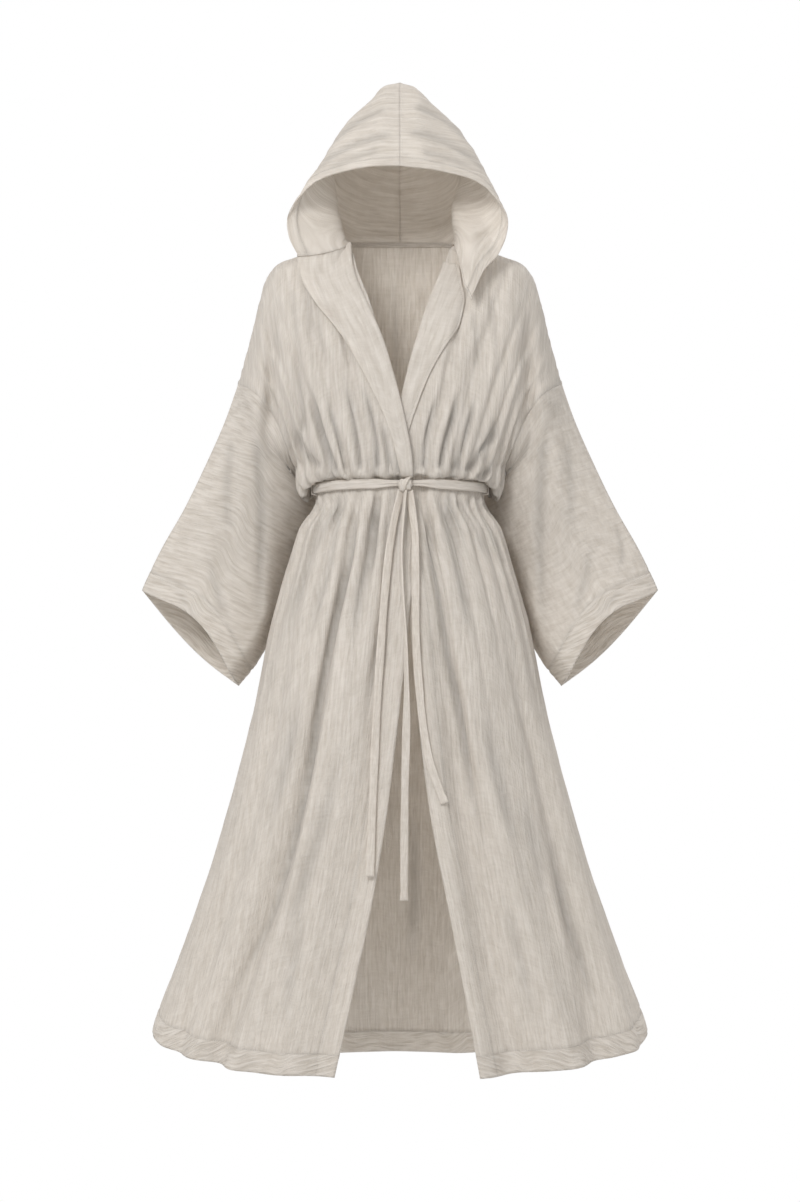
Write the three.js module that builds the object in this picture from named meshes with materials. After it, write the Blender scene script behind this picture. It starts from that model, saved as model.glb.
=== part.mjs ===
// A hooded wrap kimono in crinkled cotton gauze, filled out as it is worn, with nobody in it.
// Millimetres, +Z up, the wearer faces -Y, and the wearer's left is +X. The origin is at the
// height of the neck, in the middle of the shoulders. Every panel is a thin wall: a grid of
// points on its outer face, and the same grid moved in along the normals by the cloth.
import * as THREE from 'three';

const CLOTH = 1.6; // wall of one panel of double gauze
const TURNED = 2.6; // wall where a hem or facing is turned in
const SEAM = 0.35; // gap between sewn pieces
const ARMHOLE_GAP = 0.9; // the sleeve's own gap, where it turns sharply under the arm
const LAPEL_GAP = 0.9;
const FULLNESS = 2.2; // exponent of the level sections, 2 is an ellipse
const SIDES = { right: -1, left: 1 }; // the wearer's sides along X

// Columns and rows of the grids.
const FRONT_COLUMNS = 20;
const NECK_COLUMNS = 8;
const BACK_COLUMNS = 2 * FRONT_COLUMNS + NECK_COLUMNS;
const YOKE_ROWS = 11; // from the shoulder to the underarm
const GATHER_COLUMNS = 3; // columns for each gather at the waist

// Level sections: half width, and depth of the front and the back.
const LEVELS = [
  { z: -300, side: 166, front: 107, back: 112 },
  { z: -335, side: 160, front: 106, back: 112 },
  { z: -384, side: 129, front: 90, back: 93 },
  { z: -396, side: 129, front: 93, back: 96 },
  { z: -442, side: 155, front: 112, back: 118 },
  { z: -488, side: 170, front: 124, back: 132 },
  { z: -535, side: 184, front: 134, back: 142 },
  { z: -597, side: 201, front: 142, back: 150 },
  { z: -705, side: 223, front: 153, back: 160 },
  { z: -798, side: 246, front: 162, back: 168 },
  { z: -953, side: 290, front: 176, back: 181 },
  { z: -1108, side: 344, front: 189, back: 193 },
  { z: -1214, side: 383, front: 198, back: 201 },
  { z: -1285, side: 398, front: 202, back: 204 },
];

// Rows at the waist, where the bodice blouses over the belt. sag is the drop at the sides.
const WAIST_ROWS = [
  { z: -335, sag: 14, side: 160, front: 107, back: 112, gather: 4.5 },
  { z: -350, sag: 24, side: 159, front: 105, back: 111, gather: 5.0 },
  { z: -357.5, sag: 34, side: 150, front: 100, back: 106, gather: 4.0 },
  { z: -358.5, sag: 5, side: 142, front: 95, back: 99, gather: 3.0 },
  { z: -362, sag: 5, side: 129, front: 90, back: 93, gather: 1.5 },
  { z: -384, sag: 6, side: 129, front: 90, back: 93, gather: 1.5 },
];
const SAG_CENTRE = 98; // degrees from the centre front
const SAG_SPREAD = 32;

// Rows of the skirt, as a share of the way from the belt to the hem.
const SKIRT_ROWS = [0.03, 0.075, 0.14, 0.23, 0.34, 0.47, 0.61, 0.76, 0.88, 0.96, 1];
const HEM_TURN = 0.955; // the turned hem starts here
const HEM = { side: -1214, front: -1264, back: -1279 };

// Front edges: distance from the centre to the edge, towards the panel's own side.
const FRONT_EDGE = [
  { z: 2, right: 85, left: 85, y: 10 },
  { z: -13, right: 74, left: 76, y: -48 },
  { z: -45, right: 65, left: 66, y: -66 },
  { z: -92, right: 47, left: 47, y: -82 },
  { z: -154, right: 28, left: 27, y: -94 },
  { z: -215, right: 10, left: 10, y: -101 },
  { z: -292, right: -8, left: -7, y: -106 },
  { z: -335, right: -15, left: -14, y: -107 },
  { z: -380, right: -17, left: -16, y: -90 },
  { z: -532, right: -17, left: 8, y: -134 },
  { z: -580, right: -13, left: 14, y: -140 },
  { z: -705, right: 0, left: 25, y: -153 },
  { z: -860, right: 19, left: 43, y: -168 },
  { z: -1010, right: 44, left: 71, y: -181 },
  { z: -1110, right: 66, left: 90, y: -189 },
  { z: -1264, right: 100, left: 118, y: -200 },
];

// The left front passes under the right one, by this much, where they overlap.
const UNDERLAP = [
  { z: -160, depth: 0 },
  { z: -225, depth: 7.5 },
  { z: -335, depth: 8.8 },
  { z: -352, depth: 8.6 },
  { z: -362, depth: 4.5 },
  { z: -600, depth: 4.5 },
  { z: -760, depth: 0 },
];
const UNDERLAP_REACH = { full: 26, none: 62 }; // distance from the centre, on the left

// Shoulder ridge, from the side of the neck to the top of the armhole.
const RIDGE = [
  { x: 85, y: 10, z: 2 },
  { x: 122, y: 4, z: -8 },
  { x: 158, y: 0, z: -18 },
  { x: 190, y: 0, z: -31 },
  { x: 206, y: 0, z: -51 },
  { x: 217, y: 0, z: -85 },
  { x: 232, y: 1, z: -147 },
  { x: 250, y: 3, z: -214 },
];
// Back of the neck, from its side to the centre.
const NECKLINE = [
  { x: 85, y: 10, z: 2 },
  { x: 85, y: 58, z: 8 },
  { x: 64, y: 90, z: 13 },
  { x: 33, y: 101, z: 14 },
  { x: 0, y: 103, z: 14 },
];
// Armhole, from its top to the underarm, in front and behind.
const ARMHOLE_FRONT = [
  { x: 250, y: 3, z: -214 },
  { x: 231, y: -44, z: -225 },
  { x: 211, y: -68, z: -242 },
  { x: 192, y: -66, z: -272 },
  { x: 175, y: -44, z: -312 },
  { x: 160, y: 5, z: -349 },
];
const ARMHOLE_BACK = [
  { x: 250, y: 3, z: -214 },
  { x: 238, y: 50, z: -222 },
  { x: 215, y: 80, z: -244 },
  { x: 192, y: 84, z: -280 },
  { x: 173, y: 58, z: -318 },
  { x: 160, y: 5, z: -349 },
];

// Gathers at the waist fade over these distances above and below the belt.
const GATHER_FADE = [
  { z: -210, depth: 0 },
  { z: -290, depth: 1.8 },
  { z: -335, depth: 5.0 },
  { z: -384, depth: 1.5 },
  { z: -400, depth: 4.2 },
  { z: -440, depth: 5.5 },
  { z: -520, depth: 4.0 },
  { z: -680, depth: 1.2 },
  { z: -800, depth: 0 },
];

// Long folds of the skirt. Each place is a share of the half width at that height, on the
// wearer's right (negative) or left. width and depth are at the hem; a negative depth is a
// ridge. start is the share of the skirt where the fold begins.
const SKIRT_FOLDS = [
  { waist: -0.48, hip: -0.49, knee: -0.6, hem: -0.74, width: 26, depth: 22, start: 0 },
  { waist: -0.4, hip: -0.42, knee: -0.52, hem: -0.65, width: 24, depth: -14, start: 0.05 },
  { waist: -0.11, hip: -0.12, knee: -0.2, hem: -0.33, width: 26, depth: 13, start: 0.05 },
  { waist: -0.25, hip: -0.32, knee: -0.39, hem: -0.48, width: 26, depth: -9, start: 0.1 },
  { waist: -0.8, hip: -0.82, knee: -0.86, hem: -0.9, width: 26, depth: 12, start: 0.15 },
  { waist: 0.28, hip: 0.3, knee: 0.37, hem: 0.47, width: 27, depth: 22, start: 0 },
  { waist: 0.15, hip: 0.19, knee: 0.25, hem: 0.33, width: 24, depth: -12, start: 0.15 },
  { waist: 0.45, hip: 0.49, knee: 0.56, hem: 0.68, width: 26, depth: -12, start: 0.1 },
  { waist: 0.7, hip: 0.78, knee: 0.87, hem: 0.79, width: 24, depth: 15, start: 0.1 },
  { waist: 0.9, hip: 0.93, knee: 0.95, hem: 0.92, width: 24, depth: -9, start: 0.3 },
];
const BACK_FOLDS = [
  { waist: -0.62, hip: -0.64, knee: -0.69, hem: -0.74, width: 28, depth: 18, start: 0.02 },
  { waist: -0.42, hip: -0.45, knee: -0.48, hem: -0.52, width: 26, depth: -11, start: 0.1 },
  { waist: -0.2, hip: -0.24, knee: -0.26, hem: -0.3, width: 28, depth: 17, start: 0 },
  { waist: 0.02, hip: 0.02, knee: 0.01, hem: -0.02, width: 26, depth: -10, start: 0.1 },
  { waist: 0.22, hip: 0.23, knee: 0.25, hem: 0.27, width: 28, depth: 18, start: 0 },
  { waist: 0.45, hip: 0.46, knee: 0.49, hem: 0.52, width: 26, depth: -11, start: 0.12 },
  { waist: 0.66, hip: 0.68, knee: 0.71, hem: 0.76, width: 28, depth: 16, start: 0.04 },
];
const FOLD_STATIONS = [0, 0.2, 0.52, 1]; // waist, hip, knee and hem, as shares of the skirt

// The hollow between the chest and the sleeve, in front: its place, width and depth.
const SIDE_HOLLOW = { x: 197, width: 12 };
const HOLLOW_DEPTH = [
  { z: -50, depth: 0 },
  { z: -90, depth: 6 },
  { z: -180, depth: 20 },
  { z: -300, depth: 26 },
  { z: -349, depth: 10 },
];
// Soft drapes that run from the shoulder to the belt: x at the top and at the belt.
const DRAPES = [
  { top: 96, belt: 30, zTop: -190, width: 9, depth: 3.5 },
  { top: 128, belt: 62, zTop: -150, width: 10, depth: 4.5 },
  { top: 156, belt: 92, zTop: -110, width: 10, depth: 5 },
  { top: 172, belt: 120, zTop: -170, width: 9, depth: 4 },
];

// Sleeve: its top edge and its under edge from the armhole to the cuff.
const SLEEVE_TOP = [
  { x: 250, y: 3, z: -214 },
  { x: 271, y: 4, z: -272 },
  { x: 298, y: 6, z: -333 },
  { x: 334, y: 8, z: -407 },
  { x: 370, y: 10, z: -470 },
  { x: 395, y: 11, z: -521 },
  { x: 401, y: 12, z: -535 },
];
const SLEEVE_UNDER = [
  { x: 160, y: 5, z: -349 },
  { x: 166, y: 22, z: -362 },
  { x: 158, y: 48, z: -379 },
  { x: 141, y: 68, z: -396 },
  { x: 136, y: 76, z: -414 },
  { x: 150, y: 81, z: -450 },
  { x: 165, y: 83, z: -490 },
  { x: 179, y: 79, z: -535 },
  { x: 196, y: 66, z: -592 },
  { x: 219, y: 44, z: -642 },
  { x: 251, y: 20, z: -684 },
];
const SLEEVE_ROWS = [0, 0.06, 0.16, 0.29, 0.43, 0.57, 0.71, 0.84, 0.915, 1];
const CUFF_TURN = 0.9; // the turned cuff starts here
const SLEEVE_BULGE = { frontStart: 70, frontEnd: 46, backStart: 80, backEnd: 46 };
const CUFF_LIFT = 40; // the cuff's front edge arches up by this much
const CUFF_DROP = 17; // and its back edge hangs down by this much
const SLEEVE_CREST = 211; // distance from the centre of the crest down the sleeve's front

// Hood: centre seam from the rim over the top, and on down to the neck.
const HOOD_TOP = [
  { y: -120, z: 108 },
  { y: -84, z: 158 },
  { y: -30, z: 222 },
  { y: 10, z: 252 },
  { y: 52, z: 250 },
  { y: 96, z: 216 },
  { y: 126, z: 152 },
  { y: 132, z: 96 },
];
const HOOD_BACK = [
  { y: 103, z: 14 },
  { y: 122, z: 46 },
  { y: 132, z: 96 },
];
const HOOD_RIM = {
  right: [
    { x: 157, y: -58, z: -20 },
    { x: 170, y: -62, z: 6 },
    { x: 173, y: -70, z: 33 },
    { x: 157, y: -90, z: 59 },
    { x: 136, y: -100, z: 80 },
    { x: 104, y: -108, z: 95 },
    { x: 53, y: -116, z: 106 },
    { x: 0, y: -120, z: 108 },
  ],
  left: [
    { x: 108, y: -100, z: -92 },
    { x: 127, y: -86, z: -50 },
    { x: 151, y: -66, z: -21 },
    { x: 163, y: -64, z: 8 },
    { x: 164, y: -72, z: 33 },
    { x: 151, y: -90, z: 57 },
    { x: 122, y: -103, z: 83 },
    { x: 60, y: -115, z: 101 },
    { x: 0, y: -120, z: 108 },
  ],
};
// The hood's lower edge, from the front corner to the side of the neck.
const HOOD_FOOT = {
  right: [
    { x: 157, y: -58, z: -20 },
    { x: 128, y: -62, z: -18 },
    { x: 98, y: -60, z: -12 },
    { x: 80, y: -42, z: -4 },
    { x: 85, y: 10, z: 5 },
  ],
  left: [
    { x: 108, y: -100, z: -92 },
    { x: 97, y: -94, z: -66 },
    { x: 92, y: -82, z: -36 },
    { x: 87, y: -50, z: -4 },
    { x: 85, y: 10, z: 5 },
  ],
};
const HOOD_FOOT_COLUMNS = 6;
const HOOD_ROWS = 10;
const HOOD_SIDE_FULLNESS = 34; // the hood's side swells by this much
const HOOD_CREASE = { column: 0.46, spread: 0.13, depth: 22 };
const RIM_TURN = 0.1; // share of the hood's depth that the turned rim takes

// Lapel: width of the turned-back edge at each height, and its stand off the front.
const LAPEL = {
  right: [
    { z: -13, width: 81, stand: 0 },
    { z: -45, width: 78, stand: 5 },
    { z: -92, width: 73, stand: 6 },
    { z: -154, width: 56, stand: 4 },
    { z: -215, width: 40, stand: 2.5 },
    { z: -292, width: 24, stand: 1.6 },
    { z: -346, width: 18, stand: 1.6 },
  ],
  left: [
    { z: -34, width: 20, stand: 2 },
    { z: -60, width: 34, stand: 2 },
    { z: -92, width: 52, stand: 2 },
    { z: -128, width: 57, stand: 2 },
    { z: -154, width: 47, stand: 1.8 },
    { z: -215, width: 31, stand: 1.4 },
    { z: -292, width: 20, stand: 1.2 },
    { z: -346, width: 16, stand: 1.2 },
  ],
};
const LAPEL_WALL = 2.2; // grown forward: the cloth's outer face is turned back on the front
const LAPEL_LIFT = 1.5; // gap to the front at the roll line
const LAPEL_COLUMNS = 4;
const LAPEL_ROWS = 14;

// Belt, knot, loops and ties.
const BELT = { height: 15, thickness: 6.5, steps: 56, corners: 8, z: -372.5, sag: 6, ridge: 1.4 };
const KNOT = { x: 8, z: -375, width: 20, height: 18, depth: 12, round: 6, bevel: 2 };
const LOOP = { angle: 80, width: 5, wall: 1.4, clear: 0.5 };
const TIE = { width: 12, thickness: 3.2, corners: 8, steps: 24 };
// Where each tie hangs, seen from the front, how far it stands off the cloth, and how far
// ahead of the knot's middle it starts.
const TIES = {
  tie_right: {
    stand: 3,
    ahead: -1.4,
    route: [
      { x: 1.6, z: -384.6 },
      { x: 0.8, z: -396 },
      { x: -9, z: -430 },
      { x: -18, z: -490 },
      { x: -26, z: -580 },
      { x: -34, z: -701 },
      { x: -41, z: -850 },
      { x: -45, z: -964 },
    ],
  },
  tie_centre: {
    stand: 8,
    ahead: 3,
    route: [
      { x: 8, z: -384.8 },
      { x: 7.6, z: -396 },
      { x: 2, z: -459 },
      { x: 3, z: -520 },
      { x: 8, z: -610 },
      { x: 10, z: -702 },
      { x: 7, z: -850 },
      { x: 6, z: -1002 },
    ],
  },
  tie_left: {
    stand: 3,
    ahead: -1.4,
    route: [
      { x: 14.4, z: -384.6 },
      { x: 15.4, z: -396 },
      { x: 22, z: -440 },
      { x: 23, z: -489 },
      { x: 24, z: -610 },
      { x: 29, z: -685 },
      { x: 36, z: -748 },
      { x: 46, z: -798 },
      { x: 67, z: -855 },
    ],
  },
};

const COLOURS = { gauze: 0xd3cdc5, trim: 0xcfc8bf };

// ---- Curves through table rows -----------------------------------------------------------

// A smooth value at x through the table's column, flat beyond both ends and never overshooting.
function lookUp(rows, from, column, x) {
  const up = rows[rows.length - 1][from] > rows[0][from];
  const table = up ? rows : [...rows].reverse();
  const last = table.length - 1;
  if (x <= table[0][from]) return table[0][column];
  if (x >= table[last][from]) return table[last][column];
  let i = 0;
  while (x > table[i + 1][from]) i += 1;
  const gap = (k) => table[k + 1][from] - table[k][from];
  const rise = (k) => (table[k + 1][column] - table[k][column]) / gap(k);
  const slope = (k) => {
    if (k === 0 || k === last) return 0;
    const before = rise(k - 1);
    const after = rise(k);
    return before * after <= 0 ? 0 : 2 * before * after / (before + after);
  };
  const start = i === 0 ? rise(0) : slope(i);
  const end = i + 1 === last ? rise(i) : slope(i + 1);
  const t = (x - table[i][from]) / gap(i);
  const h = gap(i);
  return (2 * t ** 3 - 3 * t ** 2 + 1) * table[i][column] + (t ** 3 - 2 * t ** 2 + t) * h * start
    + (3 * t ** 2 - 2 * t ** 3) * table[i + 1][column] + (t ** 3 - t ** 2) * h * end;
}

// A point at share t of the length of a smooth curve through the rows, mirrored to one side.
function along(rows, t, side) {
  const points = rows.map((row) => new THREE.Vector3((row.x ?? 0) * side, row.y, row.z));
  return new THREE.CatmullRomCurve3(points, false, 'centripetal').getPointAt(clamp(t));
}

const clamp = (t) => Math.min(1, Math.max(0, t));
const mix = (a, b, t) => a + (b - a) * t;
const ease = (t) => clamp(t) ** 2 * (3 - 2 * clamp(t));
const degrees = (angle) => angle * Math.PI / 180;
const bell = (distance, width) => Math.exp(-((distance / width) ** 2));

// ---- The body: one closed section at each height -------------------------------------------

// A point of a level section. angle runs from the centre front (0) by the wearer's left side
// (a quarter turn) to the centre back.
function sectionPoint(angle, size) {
  const across = Math.sign(Math.sin(angle)) * Math.abs(Math.sin(angle)) ** (2 / FULLNESS);
  const along = Math.sign(Math.cos(angle)) * Math.abs(Math.cos(angle)) ** (2 / FULLNESS);
  const depth = along > 0 ? size.front : size.back;
  return { x: size.side * across, y: -depth * along };
}

function angleAt(share) {
  return Math.sign(share) * Math.asin(Math.min(1, Math.abs(share) ** (FULLNESS / 2)));
}

// Swing in (positive) of the long folds at one place of the skirt.
function foldDepth(angle, down, size) {
  const front = Math.cos(angle) > 0;
  const table = front ? SKIRT_FOLDS : BACK_FOLDS;
  const turned = front ? angle : Math.PI * Math.sign(angle) - angle;
  const reach = (size.side + (front ? size.front : size.back)) / 2;
  const stations = FOLD_STATIONS.map((share) => ({ share }));
  let depth = 0;
  for (const fold of table) {
    const places = [fold.waist, fold.hip, fold.knee, fold.hem];
    const rows = stations.map((row, i) => ({ ...row, place: places[i] }));
    const centre = angleAt(lookUp(rows, 'share', 'place', down));
    const grown = ease((down - fold.start) / 0.35) * mix(0.45, 1, down);
    const width = fold.width * mix(0.5, 1, down);
    const fade = bell(Math.max(0, Math.abs(turned) - degrees(70)), degrees(14));
    depth += fold.depth * grown * fade * bell((turned - centre) * reach, width);
  }
  return depth;
}

// The body below the underarm. column is the angle's own column, row counts from the underarm.
function bodyPoint(angle, row, column) {
  const turn = Math.abs(angle) * 180 / Math.PI;
  const waist = WAIST_ROWS.length - 1;
  let z;
  let size;
  let gather;
  let folds = 0;
  if (row <= waist) {
    const level = WAIST_ROWS[row];
    z = level.z - level.sag * bell(turn - SAG_CENTRE, SAG_SPREAD);
    size = level;
    gather = level.gather;
  } else {
    const down = SKIRT_ROWS[row - waist - 1];
    const end = turn < 90 ? HEM.front : HEM.back;
    const hem = mix(HEM.side, end, Math.abs(Math.cos(angle)) ** 0.9);
    z = mix(WAIST_ROWS[waist].z, hem, down);
    size = {
      side: lookUp(LEVELS, 'z', 'side', mix(WAIST_ROWS[waist].z, HEM.side, down)),
      front: lookUp(LEVELS, 'z', 'front', z),
      back: lookUp(LEVELS, 'z', 'back', z),
    };
    gather = lookUp(GATHER_FADE, 'z', 'depth', z);
    folds = foldDepth(angle, down, size);
  }
  const place = sectionPoint(angle, size);
  const phase = Number.isInteger(column) && column % GATHER_COLUMNS === 0 ? 1 : -0.4;
  const swing = folds + gather * phase * (column === null ? 0 : 1);
  const out = new THREE.Vector2(place.x / size.side ** 2, place.y / size.front ** 2).normalize();
  return new THREE.Vector3(place.x - out.x * swing, place.y - out.y * swing, z);
}

function underlap(point, side) {
  if (side !== SIDES.left) return 0;
  const { full, none } = UNDERLAP_REACH;
  return lookUp(UNDERLAP, 'z', 'depth', point.z) * (1 - ease((point.x - full) / (none - full)));
}

function sideHollow(point) {
  if (point.y > 0) return 0;
  const shape = bell(Math.abs(point.x) - SIDE_HOLLOW.x, SIDE_HOLLOW.width);
  return lookUp(HOLLOW_DEPTH, 'z', 'depth', point.z) * shape * clamp(-point.y / 40);
}

function drape(point) {
  let depth = 0;
  for (const line of DRAPES) {
    const share = clamp((line.zTop - point.z) / (line.zTop + 350));
    const x = mix(line.top, line.belt, share ** 0.8);
    const grown = ease((line.zTop + 40 - point.z) / 90);
    depth += line.depth * grown * bell(Math.abs(point.x) - x, line.width);
  }
  return depth;
}

// A patch between a top edge, a bottom edge, and one or two side edges that bend it. The cloth
// rolls over the top edge quickly and then falls.
function patchPoint(top, bottom, edges, down) {
  const roll = Math.sin(Math.PI / 2 * clamp(down / 0.55)) ** 0.85;
  const point = new THREE.Vector3(mix(top.x, bottom.x, down), mix(top.y, bottom.y, roll),
    mix(top.z, bottom.z, down));
  for (const { weight, at, start, end } of edges) {
    point.x += weight * (at.x - mix(start.x, end.x, down));
    point.y += weight * (at.y - mix(start.y, end.y, roll));
    point.z += weight * (at.z - mix(start.z, end.z, down));
  }
  return point;
}

const yokeShare = (row) => (row / YOKE_ROWS) ** 1.25;

// Angle of one column of a front at a row whose section and front edge are known.
function frontAngle(column, side, z, half) {
  const name = side < 0 ? 'right' : 'left';
  const edge = angleAt(lookUp(FRONT_EDGE, 'z', name, z) / half);
  const facing = 2; // columns in the flat facing
  const facingEnd = edge + degrees(z > -400 ? 15 : mix(15, 9, clamp((-400 - z) / 800)));
  if (column <= facing) return mix(edge, facingEnd, column / facing);
  return mix(facingEnd, Math.PI / 2, (column - facing) / (FRONT_COLUMNS - facing));
}

function frontGrid(side) {
  const name = side < 0 ? 'right' : 'left';
  const rows = [];
  const underarm = [];
  for (let column = 0; column <= FRONT_COLUMNS; column += 1) {
    const angle = frontAngle(column, side, WAIST_ROWS[0].z, WAIST_ROWS[0].side);
    underarm.push(bodyPoint(angle * side, 0, gatherColumn(column)));
  }
  for (let row = 0; row < YOKE_ROWS; row += 1) {
    const down = yokeShare(row);
    const edgeZ = mix(FRONT_EDGE[0].z, WAIST_ROWS[0].z, down ** 0.9);
    const edgeStart = new THREE.Vector3(85 * side, 10, 2);
    const edge = row === 0 ? edgeStart : new THREE.Vector3(
      lookUp(FRONT_EDGE, 'z', name, edgeZ) * side, lookUp(FRONT_EDGE, 'z', 'y', edgeZ), edgeZ);
    const armhole = along(ARMHOLE_FRONT, down, side);
    const line = [];
    for (let column = 0; column <= FRONT_COLUMNS; column += 1) {
      const share = column / FRONT_COLUMNS;
      const top = along(RIDGE, share, side);
      const point = patchPoint(top, underarm[column], [
        { weight: (1 - share) ** 2, at: edge, start: edgeStart, end: underarm[0] },
        { weight: share ** 2.4, at: armhole, start: along(RIDGE, 1, side),
          end: underarm[FRONT_COLUMNS] },
      ], down);
      const gather = gatherAt(point.z) * (gatherColumn(column) % GATHER_COLUMNS === 0 ? 1 : -0.4);
      point.y += (sideHollow(point) + drape(point)) + gather * ease((down - 0.45) / 0.4)
        * (share > 0.1 && share < 0.96 ? 1 : 0);
      line.push(point);
    }
    rows.push(line);
  }
  const last = WAIST_ROWS.length + SKIRT_ROWS.length;
  for (let row = 0; row < last; row += 1) {
    const line = [];
    for (let column = 0; column <= FRONT_COLUMNS; column += 1) {
      const sample = bodyPoint(degrees(20), row, null);
      const half = row < WAIST_ROWS.length ? WAIST_ROWS[row].side
        : lookUp(LEVELS, 'z', 'side', mix(-384, HEM.side, SKIRT_ROWS[row - WAIST_ROWS.length]));
      const angle = frontAngle(column, side, sample.z, half) * side;
      line.push(bodyPoint(angle, row, gatherColumn(column)));
    }
    rows.push(line);
  }
  const normals = rows.map((line, row) => line.map((point, i) => facing(rows, row, i, side)));
  rows.forEach((line, row) => line.forEach((point, i) => {
    point.addScaledVector(normals[row][i], -underlap(point, side));
  }));
  return rows;
}

// The normal of a front's grid at one of its points, out from the body.
function facing(rows, row, i, side) {
  const last = rows[row].length - 1;
  const across = rows[row][Math.min(last, i + 1)].clone().sub(rows[row][Math.max(0, i - 1)]);
  const down = rows[Math.min(rows.length - 1, row + 1)][i].clone().sub(rows[Math.max(0, row - 1)][i]);
  return down.cross(across).normalize().multiplyScalar(side);
}

// Gathers count from the end of the facing, so that every third column is a valley.
const gatherColumn = (column) => (column <= 2 ? 1 : column - 3);
const gatherAt = (z) => lookUp(GATHER_FADE, 'z', 'depth', z);

function backGrid() {
  const rows = [];
  const angleOf = (column) => -Math.PI / 2 - Math.PI * column / BACK_COLUMNS;
  const fix = (angle) => (angle < -Math.PI ? angle + 2 * Math.PI : angle);
  const gatherOf = (column) => (column === 0 || column === BACK_COLUMNS ? 1 : column);
  const topPoint = (column) => {
    if (column <= FRONT_COLUMNS) return along(RIDGE, 1 - column / FRONT_COLUMNS, -1);
    if (column >= BACK_COLUMNS - FRONT_COLUMNS) {
      return along(RIDGE, 1 - (BACK_COLUMNS - column) / FRONT_COLUMNS, 1);
    }
    const half = NECK_COLUMNS / 2;
    const neck = column - FRONT_COLUMNS;
    return neck <= half ? along(NECKLINE, neck / half, -1)
      : along(NECKLINE, (NECK_COLUMNS - neck) / half, 1);
  };
  const underarm = [];
  for (let column = 0; column <= BACK_COLUMNS; column += 1) {
    underarm.push(bodyPoint(fix(angleOf(column)), 0, gatherOf(column)));
  }
  for (let row = 0; row < YOKE_ROWS; row += 1) {
    const down = yokeShare(row);
    const line = [];
    for (let column = 0; column <= BACK_COLUMNS; column += 1) {
      const share = column / BACK_COLUMNS;
      const edges = [];
      for (const side of [-1, 1]) {
        const near = side < 0 ? 1 - share : share;
        edges.push({ weight: clamp(2 * near - 1) ** 2.4, at: along(ARMHOLE_BACK, down, side),
          start: along(RIDGE, 1, side), end: underarm[side < 0 ? 0 : BACK_COLUMNS] });
      }
      const point = patchPoint(topPoint(column), underarm[column], edges, down);
      const gather = gatherAt(point.z) * (gatherOf(column) % GATHER_COLUMNS === 0 ? 1 : -0.4);
      point.y -= gather * ease((down - 0.45) / 0.4) * (share > 0.03 && share < 0.97 ? 1 : 0);
      line.push(point);
    }
    rows.push(line);
  }
  const last = WAIST_ROWS.length + SKIRT_ROWS.length;
  for (let row = 0; row < last; row += 1) {
    const line = [];
    for (let column = 0; column <= BACK_COLUMNS; column += 1) {
      line.push(bodyPoint(fix(angleOf(column)), row, gatherOf(column)));
    }
    rows.push(line);
  }
  return rows;
}

// ---- Sleeves: closed rings from the armhole to the cuff --------------------------------------

function sleeveGrid(side, frontEdge, backEdge) {
  const count = YOKE_ROWS;
  const rows = [];
  for (const share of SLEEVE_ROWS) {
    const top = along(SLEEVE_TOP, share, side);
    const under = along(SLEEVE_UNDER, share, side);
    const crest = clamp(mix((SLEEVE_CREST - Math.abs(top.x)) / (Math.abs(under.x) - Math.abs(top.x)),
      0.9, ease((share - 0.7) / 0.3)));
    const peak = Math.min(0.9, Math.max(0.44, crest));
    const ring = [];
    for (let i = 0; i < 2 * count; i += 1) {
      const front = i <= count;
      const step = front ? i : 2 * count - i;
      const seam = front ? frontEdge[step] : backEdge[step];
      const t = mix(yokeShare(step), step / count, ease(share / 0.4));
      const formula = (s) => {
        const a = along(SLEEVE_TOP, s, side);
        const b = along(SLEEVE_UNDER, s, side);
        const point = a.clone().lerp(b, t);
        if (front) {
          const depth = mix(SLEEVE_BULGE.frontStart, SLEEVE_BULGE.frontEnd, s);
          const rise = t < peak ? Math.sin(Math.PI / 2 * t / peak) ** 0.8
            : Math.abs(Math.cos(Math.PI / 2 * clamp((t - peak) / (1 - peak)))) ** 0.75;
          point.y -= depth * rise;
          point.z += CUFF_LIFT * s * s * Math.sin(Math.PI * t ** 1.3);
        } else {
          const depth = mix(SLEEVE_BULGE.backStart, SLEEVE_BULGE.backEnd, s);
          point.y += depth * Math.abs(Math.sin(Math.PI * t)) ** 0.8;
          point.z -= CUFF_DROP * s * s * Math.sin(Math.PI * t);
        }
        return point;
      };
      const point = formula(share);
      const blend = clamp(1 - share / 0.3) ** 2;
      point.addScaledVector(seam.clone().sub(formula(0)), blend);
      ring.push(point);
    }
    rows.push(ring);
  }
  return rows;
}

// ---- Hood halves ---------------------------------------------------------------------------------

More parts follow.
